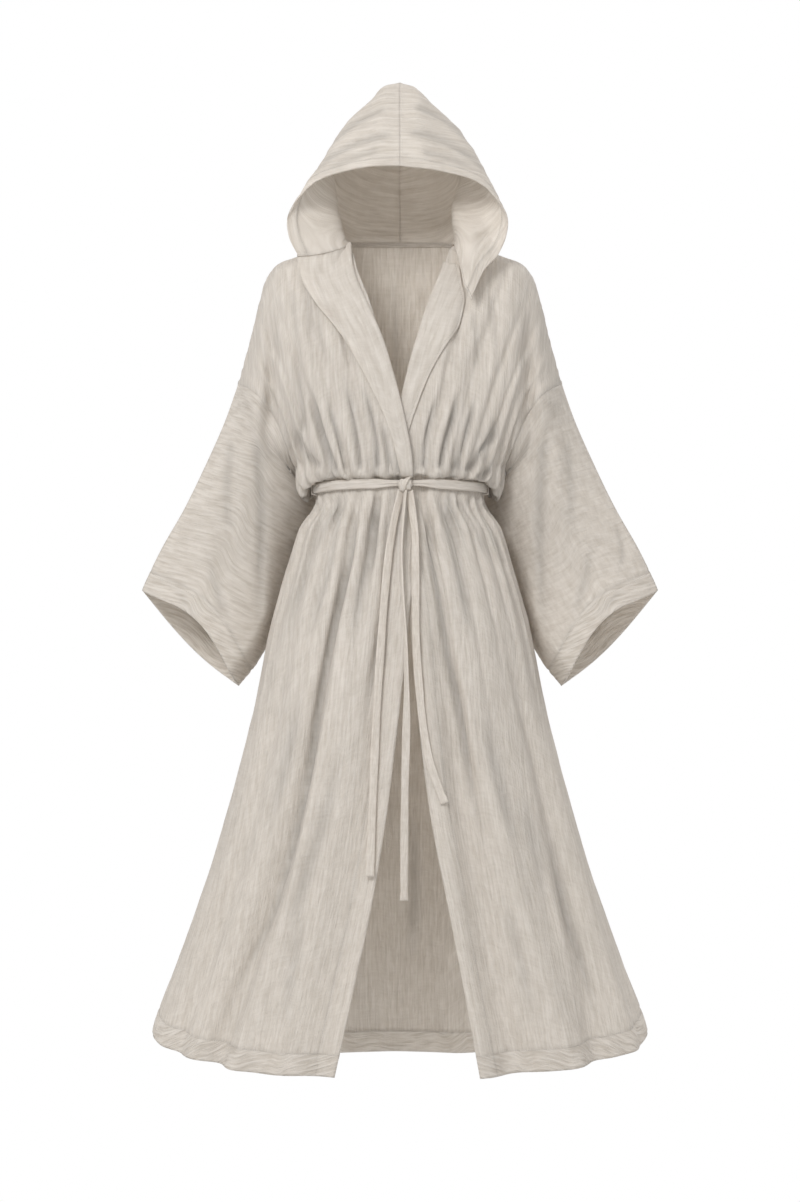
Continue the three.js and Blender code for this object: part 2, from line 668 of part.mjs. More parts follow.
function hoodGrid(side) {
  const name = side < 0 ? 'right' : 'left';
  const columns = HOOD_FOOT_COLUMNS + NECK_COLUMNS / 2;
  const rows = [];
  const corner = { rimFoot: along(HOOD_RIM[name], 0, side), rimTop: along(HOOD_RIM[name], 1, side),
    backFoot: along(HOOD_BACK, 0, side), backTop: along(HOOD_BACK, 1, side) };
  for (let row = 0; row <= HOOD_ROWS; row += 1) {
    const up = row / HOOD_ROWS;
    const line = [];
    for (let column = 0; column <= columns; column += 1) {
      const w = column / columns;
      const foot = column <= HOOD_FOOT_COLUMNS
        ? along(HOOD_FOOT[name], column / HOOD_FOOT_COLUMNS, side)
        : along(NECKLINE, (column - HOOD_FOOT_COLUMNS) / (NECK_COLUMNS / 2), side);
      const top = along(HOOD_TOP, w, side);
      const rim = along(HOOD_RIM[name], up, side);
      const back = along(HOOD_BACK, up, side);
      const point = new THREE.Vector3();
      for (const axis of ['x', 'y', 'z']) {
        const level = mix(foot[axis], top[axis], up) + mix(rim[axis], back[axis], w);
        const flat = mix(mix(corner.rimFoot[axis], corner.rimTop[axis], up),
          mix(corner.backFoot[axis], corner.backTop[axis], up), w);
        point[axis] = level - flat;
      }
      const swell = Math.sin(Math.PI * w) ** 0.8 * Math.sin(Math.PI * up) ** 0.8;
      const crease = HOOD_CREASE.depth * bell(w - HOOD_CREASE.column, HOOD_CREASE.spread)
        * Math.sin(Math.PI * clamp(up / 0.5)) ** 1.2;
      point.x += side * (HOOD_SIDE_FULLNESS * swell - crease);
      if (w === 1 || row === HOOD_ROWS) point.x = 0;
      line.push(point);
    }
    rows.push(line);
  }
  return rows;
}

// ---- Lapels ------------------------------------------------------------------------------------

// The point of a front's grid at a distance from its edge, at one height of the edge.
function frontSpot(grid, edgeZ, distance) {
  let row = 0;
  while (row < grid.length - 2 && grid[row + 1][0].z > edgeZ) row += 1;
  const share = clamp((grid[row][0].z - edgeZ) / (grid[row][0].z - grid[row + 1][0].z));
  const line = grid[row].map((point, i) => point.clone().lerp(grid[row + 1][i], share));
  let left = distance;
  for (let i = 0; i < line.length - 1; i += 1) {
    const step = line[i].distanceTo(line[i + 1]);
    if (left <= step) return line[i].clone().lerp(line[i + 1], left / step);
    left -= step;
  }
  return line[line.length - 1].clone();
}

function lapelGrid(side, front) {
  const name = side < 0 ? 'right' : 'left';
  const table = LAPEL[name];
  const rows = [];
  for (let row = 0; row <= LAPEL_ROWS; row += 1) {
    const share = row / LAPEL_ROWS;
    const z = mix(table[0].z, table[table.length - 1].z, share);
    const width = lookUp(table, 'z', 'width', z);
    const stand = lookUp(table, 'z', 'stand', z);
    const line = [];
    for (let column = 0; column <= LAPEL_COLUMNS; column += 1) {
      const across = column / LAPEL_COLUMNS;
      const point = frontSpot(front, z, width * across);
      point.y -= mix(LAPEL_LIFT, stand, across);
      line.push(point);
    }
    rows.push(line);
  }
  if (side === SIDES.right) {
    // At its top the lapel runs into the hood's lower edge and stands clear of the shoulder.
    const top = [];
    for (let column = 0; column <= LAPEL_COLUMNS; column += 1) {
      top.push(along(HOOD_FOOT.right, (LAPEL_COLUMNS - column) / HOOD_FOOT_COLUMNS, side));
    }
    rows.forEach((line, row) => {
      const hold = clamp(1 - row / (0.52 * LAPEL_ROWS)) ** 1.6;
      const z = mix(table[0].z, table[table.length - 1].z, row / LAPEL_ROWS);
      line.forEach((point, column) => {
        const across = column / LAPEL_COLUMNS;
        const free = top[column].clone();
        free.z += (z - table[0].z) * (1 - 0.1 * across);
        free.x = mix(free.x, point.x, ease(row / (0.5 * LAPEL_ROWS)));
        free.y = Math.min(mix(top[column].y, -96, ease(row / (0.6 * LAPEL_ROWS))), point.y);
        point.lerp(free, row === 0 ? 1 : hold ** 0.6 * (row < 0.52 * LAPEL_ROWS ? 1 : 0));
      });
    });
  }
  return rows;
}

// ---- Walls ---------------------------------------------------------------------------------------

const keyOf = (point) => `${point.x.toFixed(2)},${point.y.toFixed(2)},${point.z.toFixed(2)}`;

// Normals of all panels together, so that panels that meet share the normals of their seam.
function sharedNormals(panels) {
  const sums = new Map();
  for (const { grid, ring, flip } of panels) {
    const columns = grid[0].length;
    for (let row = 0; row < grid.length - 1; row += 1) {
      for (let i = 0; i < (ring ? columns : columns - 1); i += 1) {
        const next = (i + 1) % columns;
        const corners = [grid[row][i], grid[row][next], grid[row + 1][next], grid[row + 1][i]];
        const one = corners[2].clone().sub(corners[0]);
        const two = corners[3].clone().sub(corners[1]);
        const normal = one.cross(two).normalize().multiplyScalar(flip ? -1 : 1);
        for (const corner of corners) {
          const key = keyOf(corner);
          if (!sums.has(key)) sums.set(key, new THREE.Vector3());
          sums.get(key).add(normal);
        }
      }
    }
  }
  return (point) => sums.get(keyOf(point)).clone().normalize();
}

// A closed wall from a grid of outer points. wallAt gives its thickness at a row and column.
function wallGeometry({ grid, ring, flip, wallAt, topGap = SEAM / 2 }, normalAt) {
  const rows = grid.length;
  const columns = grid[0].length;
  const outer = [];
  const inner = [];
  for (let row = 0; row < rows; row += 1) {
    for (let i = 0; i < columns; i += 1) {
      const point = grid[row][i].clone();
      const normal = normalAt(grid[row][i]);
      const pull = (other, gap = SEAM / 2) => {
        const step = other.clone().sub(grid[row][i]);
        point.addScaledVector(step.normalize(), gap);
      };
      if (row === 0) pull(grid[1][i], topGap);
      if (row === rows - 1) pull(grid[rows - 2][i]);
      if (!ring && i === 0) pull(grid[row][1]);
      if (!ring && i === columns - 1) pull(grid[row][columns - 2]);
      outer.push(point);
      inner.push(point.clone().addScaledVector(normal, -wallAt(row / (rows - 1), i / (columns - 1),
        row, i)));
    }
  }
  const positions = [...outer, ...inner].flatMap((point) => [point.x, point.y, point.z]);
  const indices = [];
  const quad = (a, b, c, d) => {
    if (flip) indices.push(a, c, b, a, d, c);
    else indices.push(a, b, c, a, c, d);
  };
  const at = (row, i) => row * columns + (i % columns);
  const under = outer.length;
  const spans = ring ? columns : columns - 1;
  for (let row = 0; row < rows - 1; row += 1) {
    for (let i = 0; i < spans; i += 1) {
      quad(at(row, i), at(row, i + 1), at(row + 1, i + 1), at(row + 1, i));
      quad(under + at(row, i), under + at(row + 1, i), under + at(row + 1, i + 1),
        under + at(row, i + 1));
    }
  }
  for (let i = 0; i < spans; i += 1) {
    quad(at(0, i + 1), at(0, i), under + at(0, i), under + at(0, i + 1));
    quad(at(rows - 1, i), at(rows - 1, i + 1), under + at(rows - 1, i + 1), under + at(rows - 1, i));
  }
  if (!ring) {
    for (let row = 0; row < rows - 1; row += 1) {
      quad(at(row, 0), at(row + 1, 0), under + at(row + 1, 0), under + at(row, 0));
      quad(at(row + 1, columns - 1), at(row, columns - 1), under + at(row, columns - 1),
        under + at(row + 1, columns - 1));
    }
  }
  const geometry = new THREE.BufferGeometry();
  geometry.setAttribute('position', new THREE.Float32BufferAttribute(positions, 3));
  geometry.setIndex(indices);
  return geometry;
}

const group = new THREE.Group();
const gauze = new THREE.MeshStandardMaterial({ color: COLOURS.gauze, roughness: 0.95, metalness: 0 });
const trim = new THREE.MeshStandardMaterial({ color: COLOURS.trim, roughness: 0.93, metalness: 0 });

function addPiece(name, geometry, material) {
  geometry.computeVertexNormals();
  const mesh = new THREE.Mesh(geometry, material);
  mesh.name = name;
  group.add(mesh);
}

// ---- Assembly --------------------------------------------------------------------------------------

const fronts = { right: frontGrid(SIDES.right), left: frontGrid(SIDES.left) };
const back = backGrid();
const backSide = { right: 0, left: BACK_COLUMNS };
const hemRow = YOKE_ROWS + WAIST_ROWS.length + SKIRT_ROWS.findIndex((share) => share >= HEM_TURN);

const panels = {};
for (const [name, side] of Object.entries(SIDES)) {
  const front = fronts[name];
  const skirtFacing = (row, i) => i <= 1 && row > YOKE_ROWS + WAIST_ROWS.length;
  panels[`front_${name}`] = {
    grid: front,
    flip: side > 0,
    wallAt: (down, across, row, i) => (row >= hemRow || skirtFacing(row, i) ? TURNED : CLOTH),
  };
  const frontEdge = front.slice(0, YOKE_ROWS + 1).map((line) => line[FRONT_COLUMNS]);
  const backEdge = back.slice(0, YOKE_ROWS + 1).map((line) => line[backSide[name]]);
  panels[`sleeve_${name}`] = {
    grid: sleeveGrid(side, frontEdge, backEdge),
    ring: true,
    topGap: ARMHOLE_GAP,
    flip: side < 0,
    wallAt: (down) => (down > CUFF_TURN - 0.05 ? TURNED : CLOTH),
  };
  panels[`hood_${name}`] = {
    grid: hoodGrid(side),
    flip: side < 0,
    wallAt: (up, across) => (across <= RIM_TURN ? TURNED : CLOTH),
  };
}
panels.back = { grid: back, flip: false, wallAt: (down, across, row) => (row >= hemRow ? TURNED : CLOTH) };
for (const [name, side] of Object.entries(SIDES)) {
  panels[`lapel_${name}`] = {
    grid: lapelGrid(side, fronts[name]),
    flip: side < 0,
    topGap: LAPEL_GAP,
    wallAt: () => LAPEL_WALL,
  };
}

const normalAt = sharedNormals(Object.values(panels));
for (const [name, panel] of Object.entries(panels)) {
  addPiece(name, wallGeometry(panel, normalAt), gauze);
}

// ---- Belt, knot, loops and ties ------------------------------------------------------------------

const WAIST = { side: 129, front: 90, back: 93 };

// The middle of the belt's section, out from the gathered cloth by the given distance.
function beltPoint(angle, out, up) {
  const place = sectionPoint(angle, { side: WAIST.side + out, front: WAIST.front + out,
    back: WAIST.back + out });
  const turn = Math.abs(angle) * 180 / Math.PI;
  const drop = BELT.sag * ease(turn / 90);
  return new THREE.Vector3(place.x, place.y, BELT.z - drop + up);
}

function beltGeometry() {
  const positions = [];
  const indices = [];
  const middle = BELT.ridge + BELT.thickness / 2;
  for (let step = 0; step < BELT.steps; step += 1) {
    const angle = -Math.PI + 2 * Math.PI * (step + 0.5) / BELT.steps;
    for (let corner = 0; corner < BELT.corners; corner += 1) {
      const turn = 2 * Math.PI * (corner + 0.5) / BELT.corners;
      const out = middle + Math.sign(Math.cos(turn)) * Math.abs(Math.cos(turn)) ** 0.6
        * BELT.thickness / 2;
      const up = Math.sign(Math.sin(turn)) * Math.abs(Math.sin(turn)) ** 0.6 * BELT.height / 2;
      const point = beltPoint(angle, out, up);
      positions.push(point.x, point.y, point.z);
      const a = step * BELT.corners + corner;
      const b = step * BELT.corners + (corner + 1) % BELT.corners;
      const ahead = ((step + 1) % BELT.steps - step) * BELT.corners;
      indices.push(a, b + ahead, b, a, a + ahead, b + ahead);
    }
  }
  const geometry = new THREE.BufferGeometry();
  geometry.setAttribute('position', new THREE.Float32BufferAttribute(positions, 3));
  geometry.setIndex(indices);
  return geometry;
}

// The most forward cloth over a place that is seen from the front, or null where there is none.
function clothInFront(x, z) {
  let nearest = null;
  for (const grid of Object.values(fronts)) {
    for (let row = YOKE_ROWS; row < grid.length - 1; row += 1) {
      for (let i = 0; i < FRONT_COLUMNS; i += 1) {
        const [a, b, c, d] = [grid[row][i], grid[row][i + 1], grid[row + 1][i + 1], grid[row + 1][i]];
        for (const [p, q, r] of [[a, b, c], [a, c, d]]) {
          const area = (q.x - p.x) * (r.z - p.z) - (r.x - p.x) * (q.z - p.z);
          if (Math.abs(area) < 1e-6) continue;
          const s = ((x - p.x) * (r.z - p.z) - (r.x - p.x) * (z - p.z)) / area;
          const t = ((q.x - p.x) * (z - p.z) - (x - p.x) * (q.z - p.z)) / area;
          if (s < 0 || t < 0 || s + t > 1) continue;
          const y = p.y + s * (q.y - p.y) + t * (r.y - p.y);
          if (nearest === null || y < nearest) nearest = y;
        }
      }
    }
  }
  return nearest;
}

const KNOT_MIDDLE = -(WAIST.front + BELT.ridge + BELT.thickness + SEAM + KNOT.depth / 2);

// A tie hangs from the knot and rests on the cloth, and past an edge it hangs straight down.
function tiePath({ route, stand, ahead }) {
  const plan = new THREE.CatmullRomCurve3(route.map(({ x, z }) => new THREE.Vector3(x, 0, z)), false,
    'centripetal');
  const samples = 14;
  const points = [];
  let reach = KNOT_MIDDLE - ahead;
  for (let i = 0; i <= samples; i += 1) {
    const point = plan.getPointAt(i / samples);
    for (const aside of [-TIE.width / 2, 0, TIE.width / 2]) {
      for (const lift of [-16, 0, 16]) {
        const cloth = i === 0 ? null : clothInFront(point.x + aside, point.z + lift);
        if (cloth !== null) reach = Math.min(reach, cloth - stand - TIE.thickness / 2);
      }
    }
    points.push(new THREE.Vector3(point.x, reach, point.z));
  }
  return new THREE.CatmullRomCurve3(points, false, 'centripetal');
}

function tieGeometry(tie) {
  const path = tiePath(tie);
  const frames = path.computeFrenetFrames(TIE.steps, false);
  const wideFirst = Math.abs(frames.normals[0].x) > Math.abs(frames.binormals[0].x);
  const [wide, thin] = [TIE.width / 2, TIE.thickness / 2];
  const shape = new THREE.Shape();
  for (let corner = 0; corner < TIE.corners; corner += 1) {
    const turn = 2 * Math.PI * (corner + 0.5) / TIE.corners;
    const across = Math.cos(turn) / Math.cos(Math.PI / TIE.corners);
    const through = Math.sin(turn) / Math.cos(Math.PI / TIE.corners);
    const x = wideFirst ? across * wide : across * thin;
    const y = wideFirst ? through * thin : through * wide;
    if (corner === 0) shape.moveTo(x, y);
    else shape.lineTo(x, y);
  }
  shape.closePath();
  return new THREE.ExtrudeGeometry(shape, { steps: TIE.steps, extrudePath: path, curveSegments: 1 });
}

// A rounded block, flat below, where the ties come out.
function knotGeometry() {
  const [x, z, r] = [KNOT.width / 2, KNOT.height / 2, KNOT.round];
  const shape = new THREE.Shape();
  shape.absarc(x - r, z - r, r, 0, Math.PI / 2);
  shape.absarc(r - x, z - r, r, Math.PI / 2, Math.PI);
  shape.absarc(r - x, r - z, r, Math.PI, 1.5 * Math.PI);
  shape.absarc(x - r, r - z, r, 1.5 * Math.PI, 2 * Math.PI);
  shape.closePath();
  const geometry = new THREE.ExtrudeGeometry(shape, {
    depth: KNOT.depth - 2 * KNOT.bevel,
    bevelThickness: KNOT.bevel,
    bevelSize: KNOT.bevel,
    bevelOffset: -KNOT.bevel,
    bevelSegments: 2,
    curveSegments: 3,
  });
  geometry.translate(0, 0, KNOT.bevel - KNOT.depth / 2);
  geometry.rotateX(Math.PI / 2);
  return geometry;
}

// A flat strap bent round the belt, drawn as its profile out from the cloth and up.
function loopGeometry() {
  const near = BELT.ridge + BELT.thickness + LOOP.clear;
  const half = BELT.height / 2 + LOOP.clear + 0.6;
  const far = near + LOOP.wall;
  const shape = new THREE.Shape();
  shape.moveTo(BELT.ridge, half);
  shape.lineTo(near, half);
  shape.lineTo(near, -half);
  shape.lineTo(BELT.ridge, -half);
  shape.lineTo(BELT.ridge, -half - LOOP.wall);
  shape.lineTo(far - 1, -half - LOOP.wall);
  shape.lineTo(far, -half - LOOP.wall + 1);
  shape.lineTo(far, half + LOOP.wall - 1);
  shape.lineTo(far - 1, half + LOOP.wall);
  shape.lineTo(BELT.ridge, half + LOOP.wall);
  shape.closePath();
  const geometry = new THREE.ExtrudeGeometry(shape, { depth: LOOP.width, bevelEnabled: false });
  geometry.translate(0, 0, -LOOP.width / 2);
  geometry.rotateX(Math.PI / 2); // profile: x out from the cloth, z up, strap width along y
  return geometry;
}

addPiece('belt', beltGeometry(), trim);
addPiece('belt_knot', knotGeometry(), trim);
const knot = group.getObjectByName('belt_knot');
knot.position.set(KNOT.x, KNOT_MIDDLE, KNOT.z);
for (const [name, side] of Object.entries(SIDES)) {
  addPiece(`belt_loop_${name}`, loopGeometry(), trim);
  const loop = group.getObjectByName(`belt_loop_${name}`);
  const angle = degrees(LOOP.angle) * side;
  const foot = beltPoint(angle, 0, 0);
  const ahead = beltPoint(angle + 0.02, 0, 0).sub(beltPoint(angle - 0.02, 0, 0));
  loop.position.copy(foot);
  loop.rotation.z = Math.atan2(ahead.y, ahead.x) - Math.PI / 2;
}
for (const [name, tie] of Object.entries(TIES)) addPiece(name, tieGeometry(tie), trim);

export default group;
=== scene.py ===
# A hooded wrap kimono in crinkled cotton gauze, filled out as it is worn, with nobody in it.
# The wearer faces -Y and the wearer's left is +X. Sizes in the tables are millimetres.
import math
from functools import lru_cache

import bmesh
import bpy
import numpy as np
from mathutils import Matrix, Vector


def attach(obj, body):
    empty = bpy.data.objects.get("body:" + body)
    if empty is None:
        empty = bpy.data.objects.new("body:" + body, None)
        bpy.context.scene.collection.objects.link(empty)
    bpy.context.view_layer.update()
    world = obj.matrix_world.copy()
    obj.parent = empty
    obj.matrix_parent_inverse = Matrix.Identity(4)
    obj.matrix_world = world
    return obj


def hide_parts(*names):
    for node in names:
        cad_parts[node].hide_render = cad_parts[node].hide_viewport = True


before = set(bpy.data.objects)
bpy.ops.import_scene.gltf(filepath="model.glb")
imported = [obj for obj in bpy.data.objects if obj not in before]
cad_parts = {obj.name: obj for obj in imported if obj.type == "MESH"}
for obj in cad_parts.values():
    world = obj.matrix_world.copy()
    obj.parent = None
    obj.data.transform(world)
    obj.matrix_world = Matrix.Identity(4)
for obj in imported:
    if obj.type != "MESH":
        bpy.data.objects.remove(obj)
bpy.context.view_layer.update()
MM = 0.001

# ---- Studio ------------------------------------------------------------------------------
# A long lens at the height of the hips. A large soft lamp stands at the front on the wearer's
# right, a larger one behind on the left, and a plain white room fills in all round.
VIEW_DISTANCE = 5.0
VIEW_HEIGHT = -0.5518
PICTURE_HEIGHT = 1.8631
SENSOR = 36.0

scene = bpy.context.scene
scene.view_settings.view_transform = "Standard"
camera_data = bpy.data.cameras.new("camera")
camera_data.sensor_width = SENSOR
camera_data.lens = SENSOR * VIEW_DISTANCE / PICTURE_HEIGHT
camera = bpy.data.objects.new("camera", camera_data)
camera.location = (0.0, -VIEW_DISTANCE, VIEW_HEIGHT)
camera.rotation_euler = (math.pi / 2, 0.0, 0.0)
scene.collection.objects.link(camera)
scene.camera = camera


def lamp(name, place, aim, size, watts):
    data = bpy.data.lights.new(name, "AREA")
    data.size = size
    data.energy = watts
    light = bpy.data.objects.new(name, data)
    light.location = place
    light.rotation_euler = (Vector(aim) - Vector(place)).to_track_quat("-Z", "Y").to_euler()
    scene.collection.objects.link(light)


lamp("key_lamp", (-1.3, -3.2, 1.6), (0.0, 0.0, -0.6), 1.1, 92.0)
lamp("back_lamp", (1.8, 3.2, 1.6), (0.0, 0.0, -0.6), 2.4, 60.0)

world = bpy.data.worlds.new("studio")
scene.world = world
world.use_nodes = True
sky = world.node_tree
sky.nodes.clear()
fill = sky.nodes.new("ShaderNodeBackground")
fill.inputs["Strength"].default_value = 1.0
white = sky.nodes.new("ShaderNodeBackground")
white.inputs["Color"].default_value = (1.0, 1.0, 1.0, 1.0)
seen = sky.nodes.new("ShaderNodeLightPath")
choose = sky.nodes.new("ShaderNodeMixShader")
out = sky.nodes.new("ShaderNodeOutputWorld")
sky.links.new(seen.outputs["Is Camera Ray"], choose.inputs["Fac"])
sky.links.new(fill.outputs[0], choose.inputs[1])
sky.links.new(white.outputs[0], choose.inputs[2])
sky.links.new(choose.outputs[0], out.inputs["Surface"])


# ---- Ties ---------------------------------------------------------------------------------
# Three narrow flat tubes of the same gauze hang from the knot. Each is pressed so that two
# ribs stand along its edges, and its end is turned in and stitched square.
TIE_WIDTH = 12.0
TIE_THICKNESS = 3.2
TIE_CAP = 13.0  # the turned end
TIE_LINES = 180
TIES = {
    "tie_right": {
        "length": 0.589,
        "turn": {"at": [0, 0.1, 0.35, 1], "by": [-38, -25, -12, -6]},
        "route": [
            (1.6, -102.8, -384.6), (-7.8, -117.4, -424.9), (-15.0, -128.1, -465.8),
            (-19.9, -135.6, -507.2), (-23.6, -140.4, -548.6), (-26.8, -144.5, -590.1),
            (-29.7, -147.5, -631.6), (-32.4, -149.6, -673.1), (-34.8, -152.5, -714.6),
            (-36.9, -155.7, -756.2), (-38.8, -160.0, -797.7), (-40.6, -164.2, -839.3),
            (-42.2, -168.9, -880.8), (-43.6, -173.6, -922.4), (-45.0, -178.4, -964.0),
        ],
    },
    "tie_centre": {
        "length": 0.624,
        "turn": {"at": [0, 0.2, 0.45, 0.6, 1], "by": [70, 78, 60, 12, -4]},
        "route": [
            (8.0, -107.3, -384.8), (4.3, -123.8, -428.7), (1.7, -134.7, -472.8),
            (2.9, -142.3, -516.9), (5.2, -149.5, -560.9), (7.8, -153.9, -605.0),
            (9.3, -157.9, -649.1), (10.0, -157.9, -693.2), (9.6, -157.9, -737.3),
            (8.6, -157.9, -781.4), (7.4, -157.9, -825.5), (6.8, -157.9, -869.6),
            (6.4, -157.9, -913.8), (6.2, -157.9, -957.9), (6.0, -157.9, -1002.0),
        ],
    },
    "tie_left": {
        "length": 0.483,
        "turn": {"at": [0, 0.15, 0.5, 1], "by": [30, 16, 8, 14]},
        "route": [
            (14.4, -102.8, -384.6), (19.0, -114.3, -418.3), (22.7, -125.0, -452.1),
            (23.0, -133.0, -486.1), (23.2, -133.2, -520.1), (23.2, -138.7, -554.2),
            (23.5, -143.7, -588.2), (24.5, -148.1, -622.2), (26.6, -151.9, -656.1),
            (29.5, -156.2, -690.0), (32.8, -160.5, -723.9), (37.5, -164.7, -757.6),
            (44.1, -168.7, -791.0), (54.7, -170.7, -823.3), (67.0, -172.1, -855.0),
        ],
    },
}


def clamp(t):
    return np.clip(t, 0.0, 1.0)


def mix(a, b, t):
    return a + (b - a) * t


def ease(t):
    return clamp(t) ** 2 * (3 - 2 * clamp(t))


def bell(distance, width):
    return np.exp(-((distance / width) ** 2))


@lru_cache(maxsize=None)
def curve_through(points, per_span=40):
    """Close points on a smooth curve through the given ones, and the length up to each."""
    spots = np.array(points, float)
    spots = np.vstack([2 * spots[0] - spots[1], spots, 2 * spots[-1] - spots[-2]])
    gaps = np.maximum(np.linalg.norm(np.diff(spots, axis=0), axis=1) ** 0.5, 1e-4)
    t = np.linspace(0, 1, per_span, endpoint=False)[:, None]
    pieces = []
    for i in range(1, len(spots) - 2):
        p0, p1, p2, p3 = spots[i - 1:i + 3]
        d0, d1, d2 = gaps[i - 1:i + 2]
        start = ((p1 - p0) / d0 - (p2 - p0) / (d0 + d1) + (p2 - p1) / d1) * d1
        end = ((p2 - p1) / d1 - (p3 - p1) / (d1 + d2) + (p3 - p2) / d2) * d1
        pieces.append(p1 + start * t + (3 * (p2 - p1) - 2 * start - end) * t ** 2
                      + (2 * (p1 - p2) + start + end) * t ** 3)
    line = np.vstack(pieces + [spots[-2:-1]])
    length = np.concatenate([[0], np.cumsum(np.linalg.norm(np.diff(line, axis=0), axis=1))])
    return line, length


def along(rows, share, side=1):
    """Points at shares of the length of the curve through rows of x, y, z, on one side."""
    line, length = curve_through(tuple(rows))
    at = clamp(np.asarray(share, float)) * length[-1]
    spots = np.stack([np.interp(at, length, line[:, axis]) for axis in range(3)], axis=-1)
    return spots * np.array([side, 1, 1])


def look_up(table, column, at, key):
    """A smooth value through a table's column, flat beyond its ends, never overshooting."""
    keys = np.array(table[key], float)
    values = np.array(table[column], float)
    if keys[-1] < keys[0]:
        keys, values = keys[::-1], values[::-1]
    gap = np.diff(keys)
    rise = np.diff(values) / gap
    before, after = rise[:-1], rise[1:]
    both = np.where(np.abs(before + after) < 1e-12, 1.0, before + after)
    inner = np.where(before * after > 0, 2 * before * after / both, 0.0)
    slope = np.concatenate([rise[:1], inner, rise[-1:]])
    at = np.clip(np.asarray(at, float), keys[0], keys[-1])
    i = np.clip(np.searchsorted(keys, at, side="right") - 1, 0, len(keys) - 2)
    t = (at - keys[i]) / gap[i]
    return ((2 * t ** 3 - 3 * t ** 2 + 1) * values[i] + (t ** 3 - 2 * t ** 2 + t) * gap[i] * slope[i]
            + (3 * t ** 2 - 2 * t ** 3) * values[i + 1] + (t ** 3 - t ** 2) * gap[i] * slope[i + 1])


def cloth_piece(name, spots, across, down, turned=None, painted_crease_shade=None, ring=False, flip=False, capped=False):
    """An object from rows and columns of points. across and down are places on the flat cut."""
    rows, columns = spots.shape[:2]
    shape = bmesh.new()
    bmesh.ops.create_grid(shape, x_segments=columns - 1, y_segments=rows - 1, size=1.0)
    mesh = bpy.data.meshes.new(name)
    shape.to_mesh(mesh)
    flat = np.empty(len(mesh.vertices) * 3)
    mesh.vertices.foreach_get("co", flat)
    flat = flat.reshape(-1, 3).round(5)
    order = np.lexsort((flat[:, 0], flat[:, 1]))
    place = np.empty_like(flat)
    place[order] = spots.reshape(-1, 3) * MM
    mesh.vertices.foreach_set("co", place.ravel())
    cut = np.empty((len(flat), 2))
    cut[order] = np.stack([across.ravel(), down.ravel()], axis=1) * MM
    loops = np.empty(len(mesh.loops), int)
    mesh.loops.foreach_get("vertex_index", loops)
    layer = mesh.uv_layers.new(name="cut")
    layer.data.foreach_set("uv", cut[loops].ravel())
    # The second attribute holds the painted shade laid in creases and stitched grooves.
    for title, grid in (("turned", turned), ("painted_crease_shade", painted_crease_shade)):
        share = np.zeros(len(flat))
        if grid is not None:
            share[order] = np.broadcast_to(grid, (rows, columns)).ravel()
        mesh.attributes.new(title, "FLOAT", "POINT").data.foreach_set("value", share)
    shape.clear()
    shape.from_mesh(mesh)
    if ring:
        bmesh.ops.remove_doubles(shape, verts=shape.verts, dist=1e-6)
    if capped:
        ends = [edge for edge in shape.edges if edge.is_boundary]
        bmesh.ops.edgeloop_fill(shape, edges=ends)
    if flip:
        bmesh.ops.reverse_faces(shape, faces=shape.faces)
    if capped:
        bmesh.ops.recalc_face_normals(shape, faces=shape.faces)
    for face in shape.faces:
        face.smooth = True
    shape.to_mesh(mesh)
    shape.free()
    piece = bpy.data.objects.new(name, mesh)
    scene.collection.objects.link(piece)
    return piece


def noise_height(tree, sizes, detail, distortion=0.0):
    """Noise on the flat cut, whose blobs have the given sizes across and down, in metres."""
    where = tree.nodes.new("ShaderNodeUVMap")
    where.uv_map = "cut"
    scale = tree.nodes.new("ShaderNodeMapping")
    scale.inputs["Scale"].default_value = (1 / sizes[0], 1 / sizes[1], 1.0)
    noise = tree.nodes.new("ShaderNodeTexNoise")
    noise.inputs["Scale"].default_value = 1.0
    noise.inputs["Detail"].default_value = detail
    noise.inputs["Roughness"].default_value = 0.55
    noise.inputs["Distortion"].default_value = distortion
    tree.links.new(where.outputs["UV"], scale.inputs["Vector"])
    tree.links.new(scale.outputs["Vector"], noise.inputs["Vector"])
    return noise.outputs["Fac"]


def sum_of(tree, parts):
    """The weighted sum of heights."""
    total = None
    for socket, weight in parts:
        times = tree.nodes.new("ShaderNodeMath")
        times.operation = "MULTIPLY_ADD"
        times.inputs[1].default_value = weight
        times.inputs[2].default_value = 0.0
        tree.links.new(socket, times.inputs[0])
        if total is not None:
            tree.links.new(total, times.inputs[2])
        total = times.outputs[0]
    return total


SHEER = 0.42  # share of the light that comes through the cloth
RIBBED_FROM = 0.62  # the turned-in share from which ribs along the hem come in
FOLD_SHADE = 0.28  # painted shade: how much darker the base colour is made at the bottom of a deep crease
